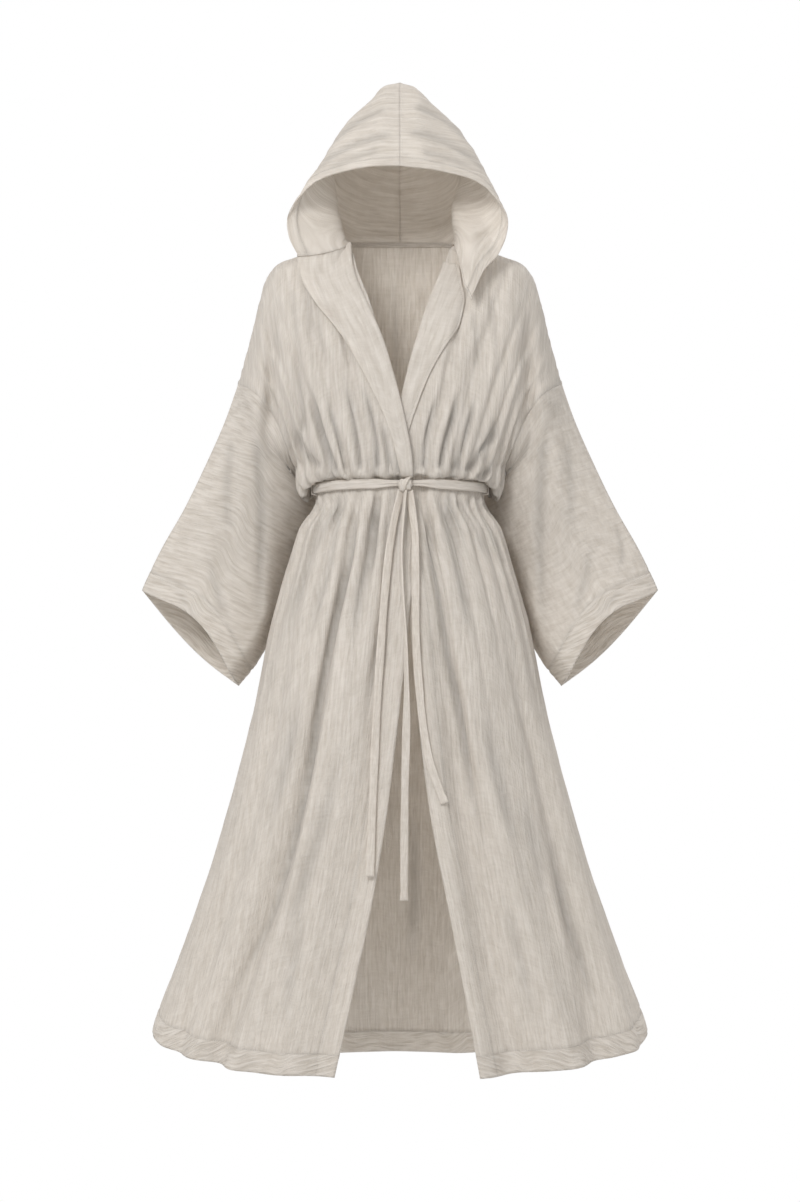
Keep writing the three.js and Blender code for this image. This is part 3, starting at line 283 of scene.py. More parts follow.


def cotton(name, ribs, light, painted_hollow_shade, relief, weave=0.0011):
    """Crinkled cotton gauze. ribs are (size across, size down, weight) of its puckers."""
    material = bpy.data.materials.new(name)
    material.use_nodes = True
    tree = material.node_tree
    shader = tree.nodes["Principled BSDF"]
    shader.inputs["Roughness"].default_value = 0.92
    shader.inputs["Specular IOR Level"].default_value = 0.2
    shader.inputs["Sheen Weight"].default_value = 0.18
    shader.inputs["Sheen Roughness"].default_value = 0.5
    along_ribs = sum_of(tree, [(noise_height(tree, (a, d), 3.0, 0.35), w) for a, d, w in ribs])
    hem_ribs = noise_height(tree, (0.035, 0.0042), 2.0, 0.2)
    turned = tree.nodes.new("ShaderNodeAttribute")
    turned.attribute_name = "turned"
    ribbed = tree.nodes.new("ShaderNodeMapRange")
    ribbed.inputs["From Min"].default_value = RIBBED_FROM
    ribbed.inputs["To Min"].default_value = 0.15
    ribbed.inputs["To Max"].default_value = 0.85
    tree.links.new(turned.outputs["Fac"], ribbed.inputs["Value"])
    height = tree.nodes.new("ShaderNodeMix")
    tree.links.new(ribbed.outputs["Result"], height.inputs["Factor"])
    tree.links.new(along_ribs, height.inputs["A"])
    tree.links.new(hem_ribs, height.inputs["B"])
    threads = noise_height(tree, (weave, weave), 1.0)
    relief_sum = sum_of(tree, [(height.outputs["Result"], 1.0), (threads, 0.10)])
    bump = tree.nodes.new("ShaderNodeBump")
    bump.inputs["Strength"].default_value = 1.0
    bump.inputs["Distance"].default_value = relief
    tree.links.new(relief_sum, bump.inputs["Height"])
    tree.links.new(bump.outputs["Normal"], shader.inputs["Normal"])
    # The colour runs from the cloth's own colour on the tops of the puckers to a painted shade in their
    # hollows.
    ramp = tree.nodes.new("ShaderNodeValToRGB")
    ramp.color_ramp.elements[0].position = 0.36
    ramp.color_ramp.elements[0].color = (*painted_hollow_shade, 1.0)
    ramp.color_ramp.elements[1].position = 0.6
    ramp.color_ramp.elements[1].color = (*light, 1.0)
    tree.links.new(height.outputs["Result"], ramp.inputs["Fac"])
    patches = noise_height(tree, (0.09, 0.16), 2.0)
    tone = tree.nodes.new("ShaderNodeMapRange")
    tone.inputs["From Min"].default_value = 0.3
    tone.inputs["From Max"].default_value = 0.7
    tone.inputs["To Min"].default_value = 0.985
    tone.inputs["To Max"].default_value = 1.02
    tree.links.new(patches, tone.inputs["Value"])
    # Painted shade: the base colour is darkened by FOLD_SHADE where the crease attribute is high, in deep
    # creases and stitched grooves.
    painted_crease_shade = tree.nodes.new("ShaderNodeAttribute")
    painted_crease_shade.attribute_name = "painted_crease_shade"
    deep = tree.nodes.new("ShaderNodeMath")
    deep.operation = "MULTIPLY_ADD"
    deep.inputs[1].default_value = -FOLD_SHADE
    tree.links.new(painted_crease_shade.outputs["Fac"], deep.inputs[0])
    tree.links.new(tone.outputs["Result"], deep.inputs[2])
    shade = tree.nodes.new("ShaderNodeVectorMath")
    shade.operation = "SCALE"
    tree.links.new(ramp.outputs["Color"], shade.inputs[0])
    tree.links.new(deep.outputs[0], shade.inputs["Scale"])
    tree.links.new(shade.outputs["Vector"], shader.inputs["Base Color"])
    glow = tree.nodes.new("ShaderNodeBsdfTranslucent")
    tree.links.new(shade.outputs["Vector"], glow.inputs["Color"])
    tree.links.new(bump.outputs["Normal"], glow.inputs["Normal"])
    through = tree.nodes.new("ShaderNodeMixShader")
    through.inputs["Fac"].default_value = SHEER
    tree.links.new(shader.outputs["BSDF"], through.inputs[1])
    tree.links.new(glow.outputs["BSDF"], through.inputs[2])
    tree.links.new(through.outputs[0], tree.nodes["Material Output"].inputs["Surface"])
    return material


# The cloth's colour on the tops of its crinkle, and the painted shade laid in the crinkle's hollows.
LIGHT = (0.825, 0.78, 0.724)
PAINTED_HOLLOW_SHADE = (0.665, 0.614, 0.55)
trim_cotton = cotton("trim_cotton", [(0.0022, 0.02, 0.7), (0.006, 0.05, 0.3)], LIGHT, PAINTED_HOLLOW_SHADE, 0.0006)


def tube_along(name, path, section, turn, girth):
    """A closed tube on a path. section is x across and y through, turn twists it in degrees."""
    rows = len(path)
    step = np.gradient(path, axis=0)
    step /= np.linalg.norm(step, axis=1, keepdims=True)
    wide = np.array([1.0, 0.0, 0.0]) - step * step[:, :1]
    wide /= np.linalg.norm(wide, axis=1, keepdims=True)
    thin = np.cross(step, wide)
    spin = np.radians(turn)[:, None]
    wide, thin = (wide * np.cos(spin) + thin * np.sin(spin), thin * np.cos(spin) - wide * np.sin(spin))
    corners = np.vstack([section, section[:1]])
    spots = (path[:, None, :] + wide[:, None, :] * (corners[None, :, :1] * girth[:, None, :1])
             + thin[:, None, :] * (corners[None, :, 1:] * girth[:, None, 1:]))
    around = np.concatenate([[0], np.cumsum(np.linalg.norm(np.diff(corners, axis=0), axis=1))])
    length = np.concatenate([[0], np.cumsum(np.linalg.norm(np.diff(path, axis=0), axis=1))])
    across = np.broadcast_to(around, (rows, len(corners)))
    down = np.broadcast_to(length[:, None], (rows, len(corners)))
    return cloth_piece(name, spots, across, down, ring=True, capped=True)


def pressed_section(width, thickness, count=28, rib=0.34):
    """A flat tube's section with a rib along each edge and a hollow between them."""
    turn = np.linspace(0, 2 * math.pi, count, endpoint=False)
    x = np.sign(np.cos(turn)) * np.abs(np.cos(turn)) ** 0.7
    hollow = 1 - rib * bell(x, 0.38)
    y = np.sign(np.sin(turn)) * np.abs(np.sin(turn)) ** 0.8 * hollow
    return np.stack([x * width / 2, y * thickness / 2], axis=1)


for name, tie in TIES.items():
    share = np.linspace(0, 1, TIE_LINES)
    path = along(tie["route"], share)
    millimetres = share * tie["length"] * 1000
    left_over = tie["length"] * 1000 - millimetres
    cap = 1 - ease((left_over - TIE_CAP) / 1.6)
    waisted = 1 - 0.14 * bell(left_over - TIE_CAP - 1.6, 1.4)
    end = np.clip(left_over / 1.2, 0.35, 1) ** 0.5
    sway = 1 + 0.05 * np.sin(millimetres / 23.0 + len(name))
    girth = np.stack([(1 + 0.1 * cap) * waisted * sway, (1 + 0.35 * cap) * waisted * end], axis=1)
    turn = look_up(tie["turn"], "by", share, "at")
    piece = tube_along(name + "_cloth", path, pressed_section(TIE_WIDTH, TIE_THICKNESS), turn, girth)
    piece.data.materials.append(trim_cotton)
    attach(piece, "root")
    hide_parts(name)


# ---- Back and fronts --------------------------------------------------------------------------
# The back is one piece from the neck to the hem. The fronts wrap over it at the waist. Seams
# run down the shoulders and sides, and the hem and front edges are turned in and stitched.
CLOTH = 1.6
TURNED = 2.6
FULLNESS = 2.2
SEAM_ALLOWANCE = 4.0
FRONT_COLUMNS = 20
FACING_COLUMNS = 2
NECK_COLUMNS = 8
BACK_COLUMNS = 2 * FRONT_COLUMNS + NECK_COLUMNS
YOKE_ROWS = 11
LINES_PER_ROW = 6
GATHER_COLUMNS = 3
LEVELS = {
    "z": [-300, -335, -384, -396, -442, -488, -535, -597, -705, -798, -953, -1108, -1214, -1285],
    "side": [166, 160, 129, 129, 155, 170, 184, 201, 223, 246, 290, 344, 383, 398],
    "front": [107, 106, 90, 93, 112, 124, 134, 142, 153, 162, 176, 189, 198, 202],
    "back": [112, 112, 93, 96, 118, 132, 142, 150, 160, 168, 181, 193, 201, 204],
}
WAIST = {
    "row": [0, 1, 2, 3, 4, 5],
    "z": [-335, -352, -362, -364.5, -367, -384],
    "sag": [14, 24, 34, 5, 5, 6],
    "side": [160, 159, 150, 142, 129, 129],
    "front": [107, 105, 100, 95, 90, 90],
    "back": [112, 111, 106, 99, 93, 93],
    "gather": [4.5, 5.0, 4.0, 3.0, 1.5, 1.5],
}
SAG_CENTRE = 98
SAG_SPREAD = 32
UNDERARM = -335
SKIRT_TOP = -384
SKIRT_FROM = -380  # the front facing is flat below this
BELT_LINE = -372.5
HEM = {"side": -1214, "front": -1264, "back": -1279}
HEM_DEPTH = 34.0
FACING_WIDTH = 32.0
FACING_SHARE = 0.6
CREASE_DEPTH = 1.6
FULL_SHADE = 5.0  # a crease this deep is shaded in full
FRONT_ON = 1.6  # how soon the creases fade where the cloth turns away
PUCKER_DEPTH = 0.9
GROOVE = 1.0  # how far the stitches pull the cloth in
# strength of the painted shade laid along the stitched grooves
GROOVE_SHADE = 0.35
FRONT_EDGE = {
    "z": [2, -13, -45, -92, -154, -215, -292, -335, -380, -532, -580, -705, -860, -1010, -1110, -1264],
    "right": [85, 74, 65, 47, 28, 10, -8, -15, -17, -17, -13, 0, 19, 44, 66, 100],
    "left": [85, 76, 66, 47, 27, 10, -7, -14, -16, 8, 14, 25, 43, 71, 90, 118],
    "y": [10, -48, -66, -82, -94, -101, -106, -107, -90, -134, -140, -153, -168, -181, -189, -200],
}
UNDERLAP = {"z": [-160, -225, -335, -352, -362, -600, -760], "depth": [0, 7.5, 8.8, 8.6, 4.5, 4.5, 0]}
UNDERLAP_REACH = (26, 62)
RIDGE = ((85, 10, 2), (122, 4, -8), (158, 0, -18), (190, 0, -31), (206, 0, -51), (217, 0, -85),
         (232, 1, -147), (250, 3, -214))
NECKLINE = ((85, 10, 2), (85, 58, 8), (64, 90, 13), (33, 101, 14), (0, 103, 14))
ARMHOLE_FRONT = ((250, 3, -214), (231, -44, -225), (211, -68, -242), (192, -66, -272),
                 (175, -44, -312), (160, 5, -349))
ARMHOLE_BACK = ((250, 3, -214), (238, 50, -222), (215, 80, -244), (192, 84, -280),
                (173, 58, -318), (160, 5, -349))
GATHER_FADE = {
    "z": [-210, -290, -335, -384, -400, -440, -520, -680, -800],
    "depth": [0, 1.8, 5.0, 1.5, 4.2, 5.5, 4.0, 1.2, 0],
}
# Long folds: places at the waist, hip, knee and hem as shares of the half width, then width
# and depth at the hem, and the share of the skirt where the fold starts.
SKIRT_FOLDS = [
    (-0.48, -0.49, -0.6, -0.74, 26, 22, 0), (-0.4, -0.42, -0.52, -0.65, 24, -14, 0.05),
    (-0.11, -0.12, -0.2, -0.33, 26, 13, 0.05), (-0.25, -0.32, -0.39, -0.48, 26, -9, 0.1),
    (-0.8, -0.82, -0.86, -0.9, 26, 12, 0.15), (0.28, 0.3, 0.37, 0.47, 27, 22, 0),
    (0.15, 0.19, 0.25, 0.33, 24, -12, 0.15), (0.45, 0.49, 0.56, 0.68, 26, -12, 0.1),
    (0.7, 0.78, 0.87, 0.79, 24, 15, 0.1), (0.9, 0.93, 0.95, 0.92, 24, -9, 0.3),
]
BACK_FOLDS = [
    (-0.62, -0.64, -0.69, -0.74, 28, 18, 0.02), (-0.42, -0.45, -0.48, -0.52, 26, -11, 0.1),
    (-0.2, -0.24, -0.26, -0.3, 28, 17, 0), (0.02, 0.02, 0.01, -0.02, 26, -10, 0.1),
    (0.22, 0.23, 0.25, 0.27, 28, 18, 0), (0.45, 0.46, 0.49, 0.52, 26, -11, 0.12),
    (0.66, 0.68, 0.71, 0.76, 28, 16, 0.04),
]
FOLD_STATIONS = [0, 0.2, 0.52, 1]
# A hollow runs down beside each armhole, and soft drapes fall from it to the belt. A drape is its
# distance from the centre at the top and at the belt, the height of its top, width and depth.
HOLLOW_X = 197
HOLLOW_WIDTH = 12
HOLLOW_DEPTH = {"z": [-50, -90, -180, -300, -349], "depth": [0, 6, 20, 26, 10]}
DRAPES = [
    (96, 30, -190, 9, 3.5), (128, 62, -150, 10, 4.5), (156, 92, -110, 10, 5), (172, 120, -170, 9, 4),
]

# Creases, seen from the front: width, depth, and x and z of the points they run
# through. A negative depth is a ridge.
CHEST_CREASES = [
    (5, 4.5, [(-97, -362), (-115, -314), (-127, -273), (-139, -217)]),
    (4, 4.5, [(-79, -361), (-91, -314), (-103, -273), (-114, -229)]),
    (5, 5, [(-59, -359), (-67, -306), (-74, -258), (-86, -209)]),
    (5, 5, [(-35, -356), (-38, -314), (-49, -253), (-59, -217)]),
    (4, 4, [(-15, -361), (-20, -323), (-30, -270)]),
    (6, 4.5, [(-123, -350), (-147, -323), (-162, -282)]),
    (4, 4.5, [(35, -355), (39, -314), (47, -273), (59, -233)]),
    (5, 5.5, [(59, -356), (70, -311), (82, -270), (91, -229)]),
    (5, 5, [(82, -356), (94, -323), (105, -282), (118, -233)]),
    (6, 5, [(100, -359), (120, -330), (141, -302), (149, -265)]),
    (5, 4, [(118, -367), (132, -355), (149, -338)]),
    (5, 1.6, [(-164, -71), (-156, -159), (-144, -217)]),
    (5, 1.6, [(-127, -83), (-121, -156), (-111, -202)]),
    (4, 1.3, [(-94, -111), (-83, -164), (-73, -205)]),
    (6, 2, [(-149, -50), (-139, -111), (-133, -171)]),
    (5, 1.6, [(112, -111), (118, -164), (121, -209)]),
    (5, 1.6, [(139, -80), (146, -156), (149, -217)]),
    (4, 1.3, [(88, -126), (85, -171), (76, -205)]),
    (5, 2.5, [(-147, -300), (-150, -240), (-158, -170)]),
    (5, -2, [(-68, -345), (-79, -300), (-90, -255)]),
    (5, -2, [(47, -350), (58, -300), (70, -255)]),
]
SKIRT_CREASES = [
    (6, 5, [(-66, -394), (-74, -471), (-90, -547), (-107, -627), (-123, -712), (-143, -835),
            (-191, -1020), (-242, -1129), (-276, -1212)]),
    (6, -4, [(-54, -394), (-62, -471), (-77, -547), (-93, -627), (-108, -712), (-127, -835),
             (-173, -1020), (-222, -1129), (-254, -1225)]),
    (7, 3.5, [(-38, -402), (-42, -471), (-59, -538), (-72, -625)]),
    (6, 4, [(-18, -406), (-20, -490), (-23, -550), (-38, -651), (-57, -760)]),
    (7, 2.5, [(-114, -394), (-135, -471), (-155, -538), (-183, -631)]),
    (7, 2.5, [(-90, -394), (-102, -471), (-123, -550), (-143, -631)]),
    (6, 5, [(41, -402), (47, -471), (59, -550), (71, -631), (87, -712), (107, -835), (135, -955)]),
    (6, -3.5, [(53, -402), (60, -471), (74, -550), (87, -631), (103, -712), (124, -835), (152, -955)]),
    (7, 3, [(66, -394), (83, -471), (99, -550), (111, -631)]),
    (7, 3, [(87, -394), (119, -450), (138, -502)]),
    (6, 2.5, [(119, -402), (147, -459), (164, -511)]),
    (8, 3.6, [(222, -870), (252, -1020), (282, -1119), (306, -1218)]),
    (8, -3, [(205, -890), (234, -1020), (263, -1119), (286, -1225)]),
    (10, 2.5, [(-150, -670), (-173, -790), (-207, -925)]),
    (10, 2.5, [(-83, -730), (-105, -850), (-150, -1000), (-180, -1120)]),
    (10, 2.5, [(120, -700), (150, -820), (180, -940)]),
    (10, 2.5, [(180, -820), (218, -970), (240, -1075)]),
    (9, 2, [(150, -970), (180, -1090), (203, -1195)]),
    (9, 2, [(-135, -1000), (-162, -1105), (-173, -1210)]),
]
BACK_CREASES = [
    (5, 4.5, [(-104, -362), (-118, -306), (-130, -250), (-138, -190)]),
    (5, 5, [(-70, -360), (-80, -300), (-90, -240), (-97, -180)]),
    (5, 4, [(-38, -358), (-42, -300), (-50, -235)]),
    (5, 4.5, [(-12, -360), (-14, -290), (-20, -220)]),
    (4, 4, [(22, -360), (24, -300), (30, -240), (34, -190)]),
    (5, 5, [(52, -360), (60, -300), (72, -240)]),
    (5, 4.5, [(88, -360), (100, -305), (112, -250), (118, -200)]),
    (5, 4, [(116, -356), (130, -320), (146, -270)]),
    (4, 2, [(-4, -20), (-5, -120), (-3, -230)]),
    (5, -1.5, [(4, -30), (5, -130), (6, -220)]),
    (7, 3, [(-120, -60), (-116, -140), (-108, -210)]),
    (7, 3, [(120, -50), (112, -130), (104, -200)]),
    (7, 4, [(-112, -394), (-136, -480), (-160, -580), (-186, -700)]),
    (7, 4, [(-74, -394), (-86, -480), (-100, -600), (-112, -700)]),
    (6, 4, [(-30, -396), (-38, -500), (-46, -620), (-58, -760)]),
    (7, 3.5, [(8, -396), (8, -490), (4, -600), (2, -700)]),
    (6, 4, [(44, -394), (54, -500), (62, -610), (76, -760)]),
    (7, 4, [(82, -394), (98, -480), (118, -590), (136, -720)]),
    (7, 3, [(118, -398), (144, -470), (162, -540)]),
    (9, 3, [(-200, -820), (-226, -950), (-250, -1100)]),
    (9, 3, [(-60, -820), (-72, -960), (-86, -1130)]),
    (9, 3, [(20, -860), (24, -1000), (20, -1150)]),
    (9, 3, [(150, -800), (182, -960), (206, -1120)]),
]


def yoke_share(row):
    return (row / YOKE_ROWS) ** 1.25


def section(angle, side, front, back):
    across = np.sign(np.sin(angle)) * np.abs(np.sin(angle)) ** (2 / FULLNESS)
    forth = np.sign(np.cos(angle)) * np.abs(np.cos(angle)) ** (2 / FULLNESS)
    return side * across, -np.where(forth > 0, front, back) * forth


def angle_at(share):
    return np.sign(share) * np.arcsin(np.minimum(1, np.abs(share) ** (FULLNESS / 2)))


def fold_depth(angle, down, side, front, back):
    """Swing in of the long folds. angle and down are grids."""
    ahead = np.cos(angle) > 0
    turned = np.where(ahead, angle, math.pi * np.sign(angle) - angle)
    reach = (side + np.where(ahead, front, back)) / 2
    fade = bell(np.maximum(0, np.abs(turned) - math.radians(70)), math.radians(14))
    depth = np.zeros_like(turned)
    for table, here in ((SKIRT_FOLDS, ahead), (BACK_FOLDS, ~ahead)):
        for waist, hip, knee, hem, width, deep, start in table:
            places = {"station": FOLD_STATIONS, "place": [waist, hip, knee, hem]}
            centre = angle_at(look_up(places, "place", down, "station"))
            grown = ease((down - start) / 0.35) * mix(0.45, 1, down)
            spread = width * mix(0.5, 1, down)
            depth += here * deep * grown * fade * bell((turned - centre) * reach, spread)
    return depth


def gather_phase(column, last):
    """Deep at every third column, flat at the ends of the gathered run."""
    wander = column + 0.3 * np.sin(column * 1.9 + 0.6)
    valley = (0.5 + 0.5 * np.cos(2 * math.pi * wander / GATHER_COLUMNS)) ** 1.4
    return mix(-0.4, -0.4 + 1.4 * valley, ease(np.minimum(column, last - column) / 1.5))


def body_grid(angle, phase, waist_rows, downs):
    """The garment below the underarm. angle gives each row's own angles."""
    turn = np.degrees(np.abs(angle))
    upper = len(waist_rows)
    level = {c: look_up(WAIST, c, waist_rows, "row")[:, None] for c in WAIST if c != "row"}
    z = level["z"] - level["sag"] * bell(turn[:upper] - SAG_CENTRE, SAG_SPREAD)
    down = np.asarray(downs)[:, None]
    low_turn = turn[upper:]
    end = np.where(low_turn < 90, HEM["front"], HEM["back"])
    hem = mix(HEM["side"], end, np.abs(np.cos(angle[upper:])) ** 0.9)
    sag = WAIST["sag"][-1] * (1 - ease(down / 0.03)) * bell(low_turn - SAG_CENTRE, SAG_SPREAD)
    low_z = mix(SKIRT_TOP, hem, down) - sag
    side = look_up(LEVELS, "side", mix(SKIRT_TOP, HEM["side"], down), "z") * np.ones_like(low_z)
    front = look_up(LEVELS, "front", low_z, "z")
    back = look_up(LEVELS, "back", low_z, "z")
    folds = fold_depth(angle[upper:], down * np.ones_like(low_z), side, front, back)
    z = np.vstack([z, low_z])
    ones = np.ones((upper, angle.shape[1]))
    side = np.vstack([level["side"] * ones, side])
    front = np.vstack([level["front"] * ones, front])
    back = np.vstack([level["back"] * ones, back])
    gather = np.vstack([level["gather"] * ones, look_up(GATHER_FADE, "depth", low_z, "z")])
    swing = np.vstack([0 * ones, folds]) + gather * phase
    x, y = section(angle, side, front, back)
    out = np.stack([x / side ** 2, y / front ** 2], axis=-1)
    out /= np.linalg.norm(out, axis=-1, keepdims=True)
    return np.stack([x - out[..., 0] * swing, y - out[..., 1] * swing, z], axis=-1)


def patch(top, bottom, edges, down):
    """Points between a top and a bottom edge, bent by side edges, rolling over at the top."""
    roll = np.sin(math.pi / 2 * clamp(down / 0.55)) ** 0.85
    share = np.concatenate([down, roll, down], axis=-1)
    spots = top + (bottom - top) * share
    for weight, at, start, end in edges:
        spots = spots + weight * (at - (start + (end - start) * share))
    return spots


def normals_of(spots):
    across = np.gradient(spots, axis=1)
    down = np.gradient(spots, axis=0)
    out = np.cross(across, down)
    return out / np.maximum(np.linalg.norm(out, axis=-1, keepdims=True), 1e-9)


LOWEST_GATHER = -410  # creases that start above this are held by the belt


def crease_depth(spots, table):
    """Depth of the listed creases at each point, seen along Y."""
    flat = spots[..., [0, 2]].reshape(-1, 2)
    total = np.zeros(len(flat))
    for width, depth, route in table:
        line, length = curve_through(tuple((x, 0, z) for x, z in route), 28)
        line = line[:, [0, 2]]
        low = line.min(0) - 4 * width
        high = line.max(0) + 4 * width
        near = np.flatnonzero(np.all((flat > low) & (flat < high), axis=1))
        if not len(near):
            continue
        gaps = np.linalg.norm(flat[near, None, :] - line[None, :, :], axis=2)
        nearest = gaps.argmin(1)
        share = length[nearest] / length[-1]
        held = route[0][1] > LOWEST_GATHER
        start = ease(share / 0.12 + 0.15) if held else ease(share / 0.4)
        taper = start * ease((1 - share) / 0.4)
        total[near] += depth * taper * bell(gaps[np.arange(len(near)), nearest], width)
    return total.reshape(spots.shape[:2])


def pucker(across, down, sizes, seed):
    """Uneven soft ridges from -1 to 1, with the given sizes across and down."""
    u = across / sizes[0]
    v = down / sizes[1]
    u = u + 0.35 * np.sin(v * 1.7 + seed) + 0.2 * np.sin(v * 4.1 + 2 * seed)
    i = np.floor(u)
    j = np.floor(v)
    du = ease(u - i)
    dv = ease(v - j)

    def value(a, b):
        """A fixed uneven value from 0 to 1 for each place of the grid."""
        return np.modf(np.abs(np.sin(a * 127.1 + b * 311.7 + seed * 74.7) * 43758.5453))[0]

    low = mix(value(i, j), value(i + 1, j), du)
    high = mix(value(i, j + 1), value(i + 1, j + 1), du)
    return 2 * mix(low, high, dv) - 1


def lengths(spots, axis):
    """Length along the cloth from its first column (axis 1) or its first row (axis 0)."""
    steps = np.linalg.norm(np.diff(spots, axis=axis), axis=2)
    start = np.zeros_like(np.take(steps, [0], axis=axis))
    return np.concatenate([start, np.cumsum(steps, axis=axis)], axis=axis)


def with_wall(piece):
    """Gives the cloth its wall, thicker where it is turned in."""
    group = piece.vertex_groups.new(name="turned_in")
    share = np.empty(len(piece.data.vertices))
    piece.data.attributes["turned"].data.foreach_get("value", share)
    for index in np.flatnonzero(share > 0.5):
        group.add([int(index)], 1.0, "REPLACE")
    wall = piece.modifiers.new("wall", "SOLIDIFY")
    wall.thickness = TURNED * MM
    wall.offset = -1.0
    wall.vertex_group = "turned_in"
    wall.thickness_vertex_group = CLOTH / TURNED


YOKE_END = LINES_PER_ROW * YOKE_ROWS + 1
YOKE_LINES = np.linspace(0, YOKE_ROWS, YOKE_END)[:-1]
WAIST_LINES = np.linspace(0, 5, 21)
skirt_downs = np.concatenate([np.linspace(0, 0.955, 146)[1:], [0.9575, 0.96, 0.9625, 0.965],
                              np.linspace(0.965, 1, 9)[1:]])
seam_side = {}
stitch_lines = []


def blouse_swing(x, y, height):
    """How far forward a point lies, for the hollow beside the armhole and the drapes."""
    hollow = look_up(HOLLOW_DEPTH, "depth", height, "z") * bell(np.abs(x) - HOLLOW_X, HOLLOW_WIDTH)
    swing = hollow * clamp(-y / 40) * (y < 0)
    for top, belt, z_top, width, depth in DRAPES:
        run = clamp((z_top - height) / (z_top + 350))
        grown = ease((z_top + 40 - height) / 90)
        swing = swing + depth * grown * bell(np.abs(x) - mix(top, belt, run ** 0.8), width)
    return swing


def front_panel(side, name):
    plain = np.linspace(FACING_COLUMNS, FRONT_COLUMNS, 100)
    column = np.concatenate([np.linspace(0, FACING_COLUMNS, 15), plain[1:]])
    share = column / FRONT_COLUMNS
    gathered = np.where(column > FACING_COLUMNS, column - 3 + GATHER_COLUMNS, 1)
    held = ease(column - FACING_COLUMNS) * ease((FRONT_COLUMNS - column) / 1.5)
    phase = mix(-0.4, gather_phase(gathered, 1e9), held)
    # Angles of each row from the front edge round to the side seam.
    waist_z = look_up(WAIST, "z", WAIST_LINES, "row")
    skirt_z = mix(SKIRT_TOP, mix(HEM["side"], HEM["front"], math.cos(math.radians(20)) ** 0.9), skirt_downs)
    z = np.concatenate([waist_z, skirt_z])
    half = np.concatenate([look_up(WAIST, "side", WAIST_LINES, "row"),
                           look_up(LEVELS, "side", mix(SKIRT_TOP, HEM["side"], skirt_downs), "z")])
    edge = angle_at(look_up(FRONT_EDGE, name, z, "z") / half)
    wide = np.where(z > -400, 15, mix(15, 9, clamp((-400 - z) / 800)))
    facing_end = (edge + np.radians(wide))[:, None]
    edge = edge[:, None]
    facing = mix(edge, facing_end, column[None, :] / FACING_COLUMNS)
    past = (column[None, :] - FACING_COLUMNS) / (FRONT_COLUMNS - FACING_COLUMNS)
    rest = mix(facing_end, math.pi / 2, past)
    angle = np.where(column[None, :] <= FACING_COLUMNS, facing, rest) * side
    body = body_grid(angle, phase[None, :], WAIST_LINES, skirt_downs)
    under = body[0][None]
    down = yoke_share(YOKE_LINES)[:, None, None]
    edge_z = mix(FRONT_EDGE["z"][0], UNDERARM, down[:, 0, 0] ** 0.9)
    edge_line = np.stack([look_up(FRONT_EDGE, name, edge_z, "z") * side,
                          look_up(FRONT_EDGE, "y", edge_z, "z"), edge_z], axis=-1)[:, None]
    top = along(RIDGE, share, side)[None]
    armhole = along(ARMHOLE_FRONT, down[:, 0, 0], side)[:, None]
    weight = share[None, :, None]
    edges = [((1 - weight) ** 2, edge_line, edge_line[:1], under[:, :1]),
             (weight ** 2.4, armhole, along(RIDGE, 1, side), under[:, -1:])]
    yoke = patch(top, under, edges, down)
    height = yoke[..., 2]
    swing = blouse_swing(yoke[..., 0], yoke[..., 1], height)
    inside = ease((share - 0.06) / 0.06) * ease((0.98 - share) / 0.04)
    gather = look_up(GATHER_FADE, "depth", height, "z") * phase * ease((down[..., 0] - 0.45) / 0.4)
    yoke[..., 1] += swing + gather * inside
    # The last of the yoke runs smoothly into the row at the underarm.
    edge_end = np.array([look_up(FRONT_EDGE, name, UNDERARM, "z") * side,
                         look_up(FRONT_EDGE, "y", UNDERARM, "z"), UNDERARM])
    ends = (edge_end, along(ARMHOLE_FRONT, 1, side))
    last_edges = [(weight, end, start, corner) for (weight, _, start, corner), end in zip(edges, ends)]
    last = patch(top, under, last_edges, np.ones((1, 1, 1)))
    last_z = last[..., 2]
    swing = blouse_swing(last[..., 0], last[..., 1], last_z)
    last[..., 1] += swing + look_up(GATHER_FADE, "depth", last_z, "z") * phase * inside
    yoke += (under - last) * ease((down - 0.6) / 0.4)
    spots = np.concatenate([yoke, body])
    if side > 0:
        full, none = UNDERLAP_REACH
        out = normals_of(spots) * -side
        deep = look_up(UNDERLAP, "depth", spots[..., 2], "z")
        deep = deep * (1 - ease((spots[..., 0] - full) / (none - full)))
        spots = spots - out * deep[..., None]
    return spots


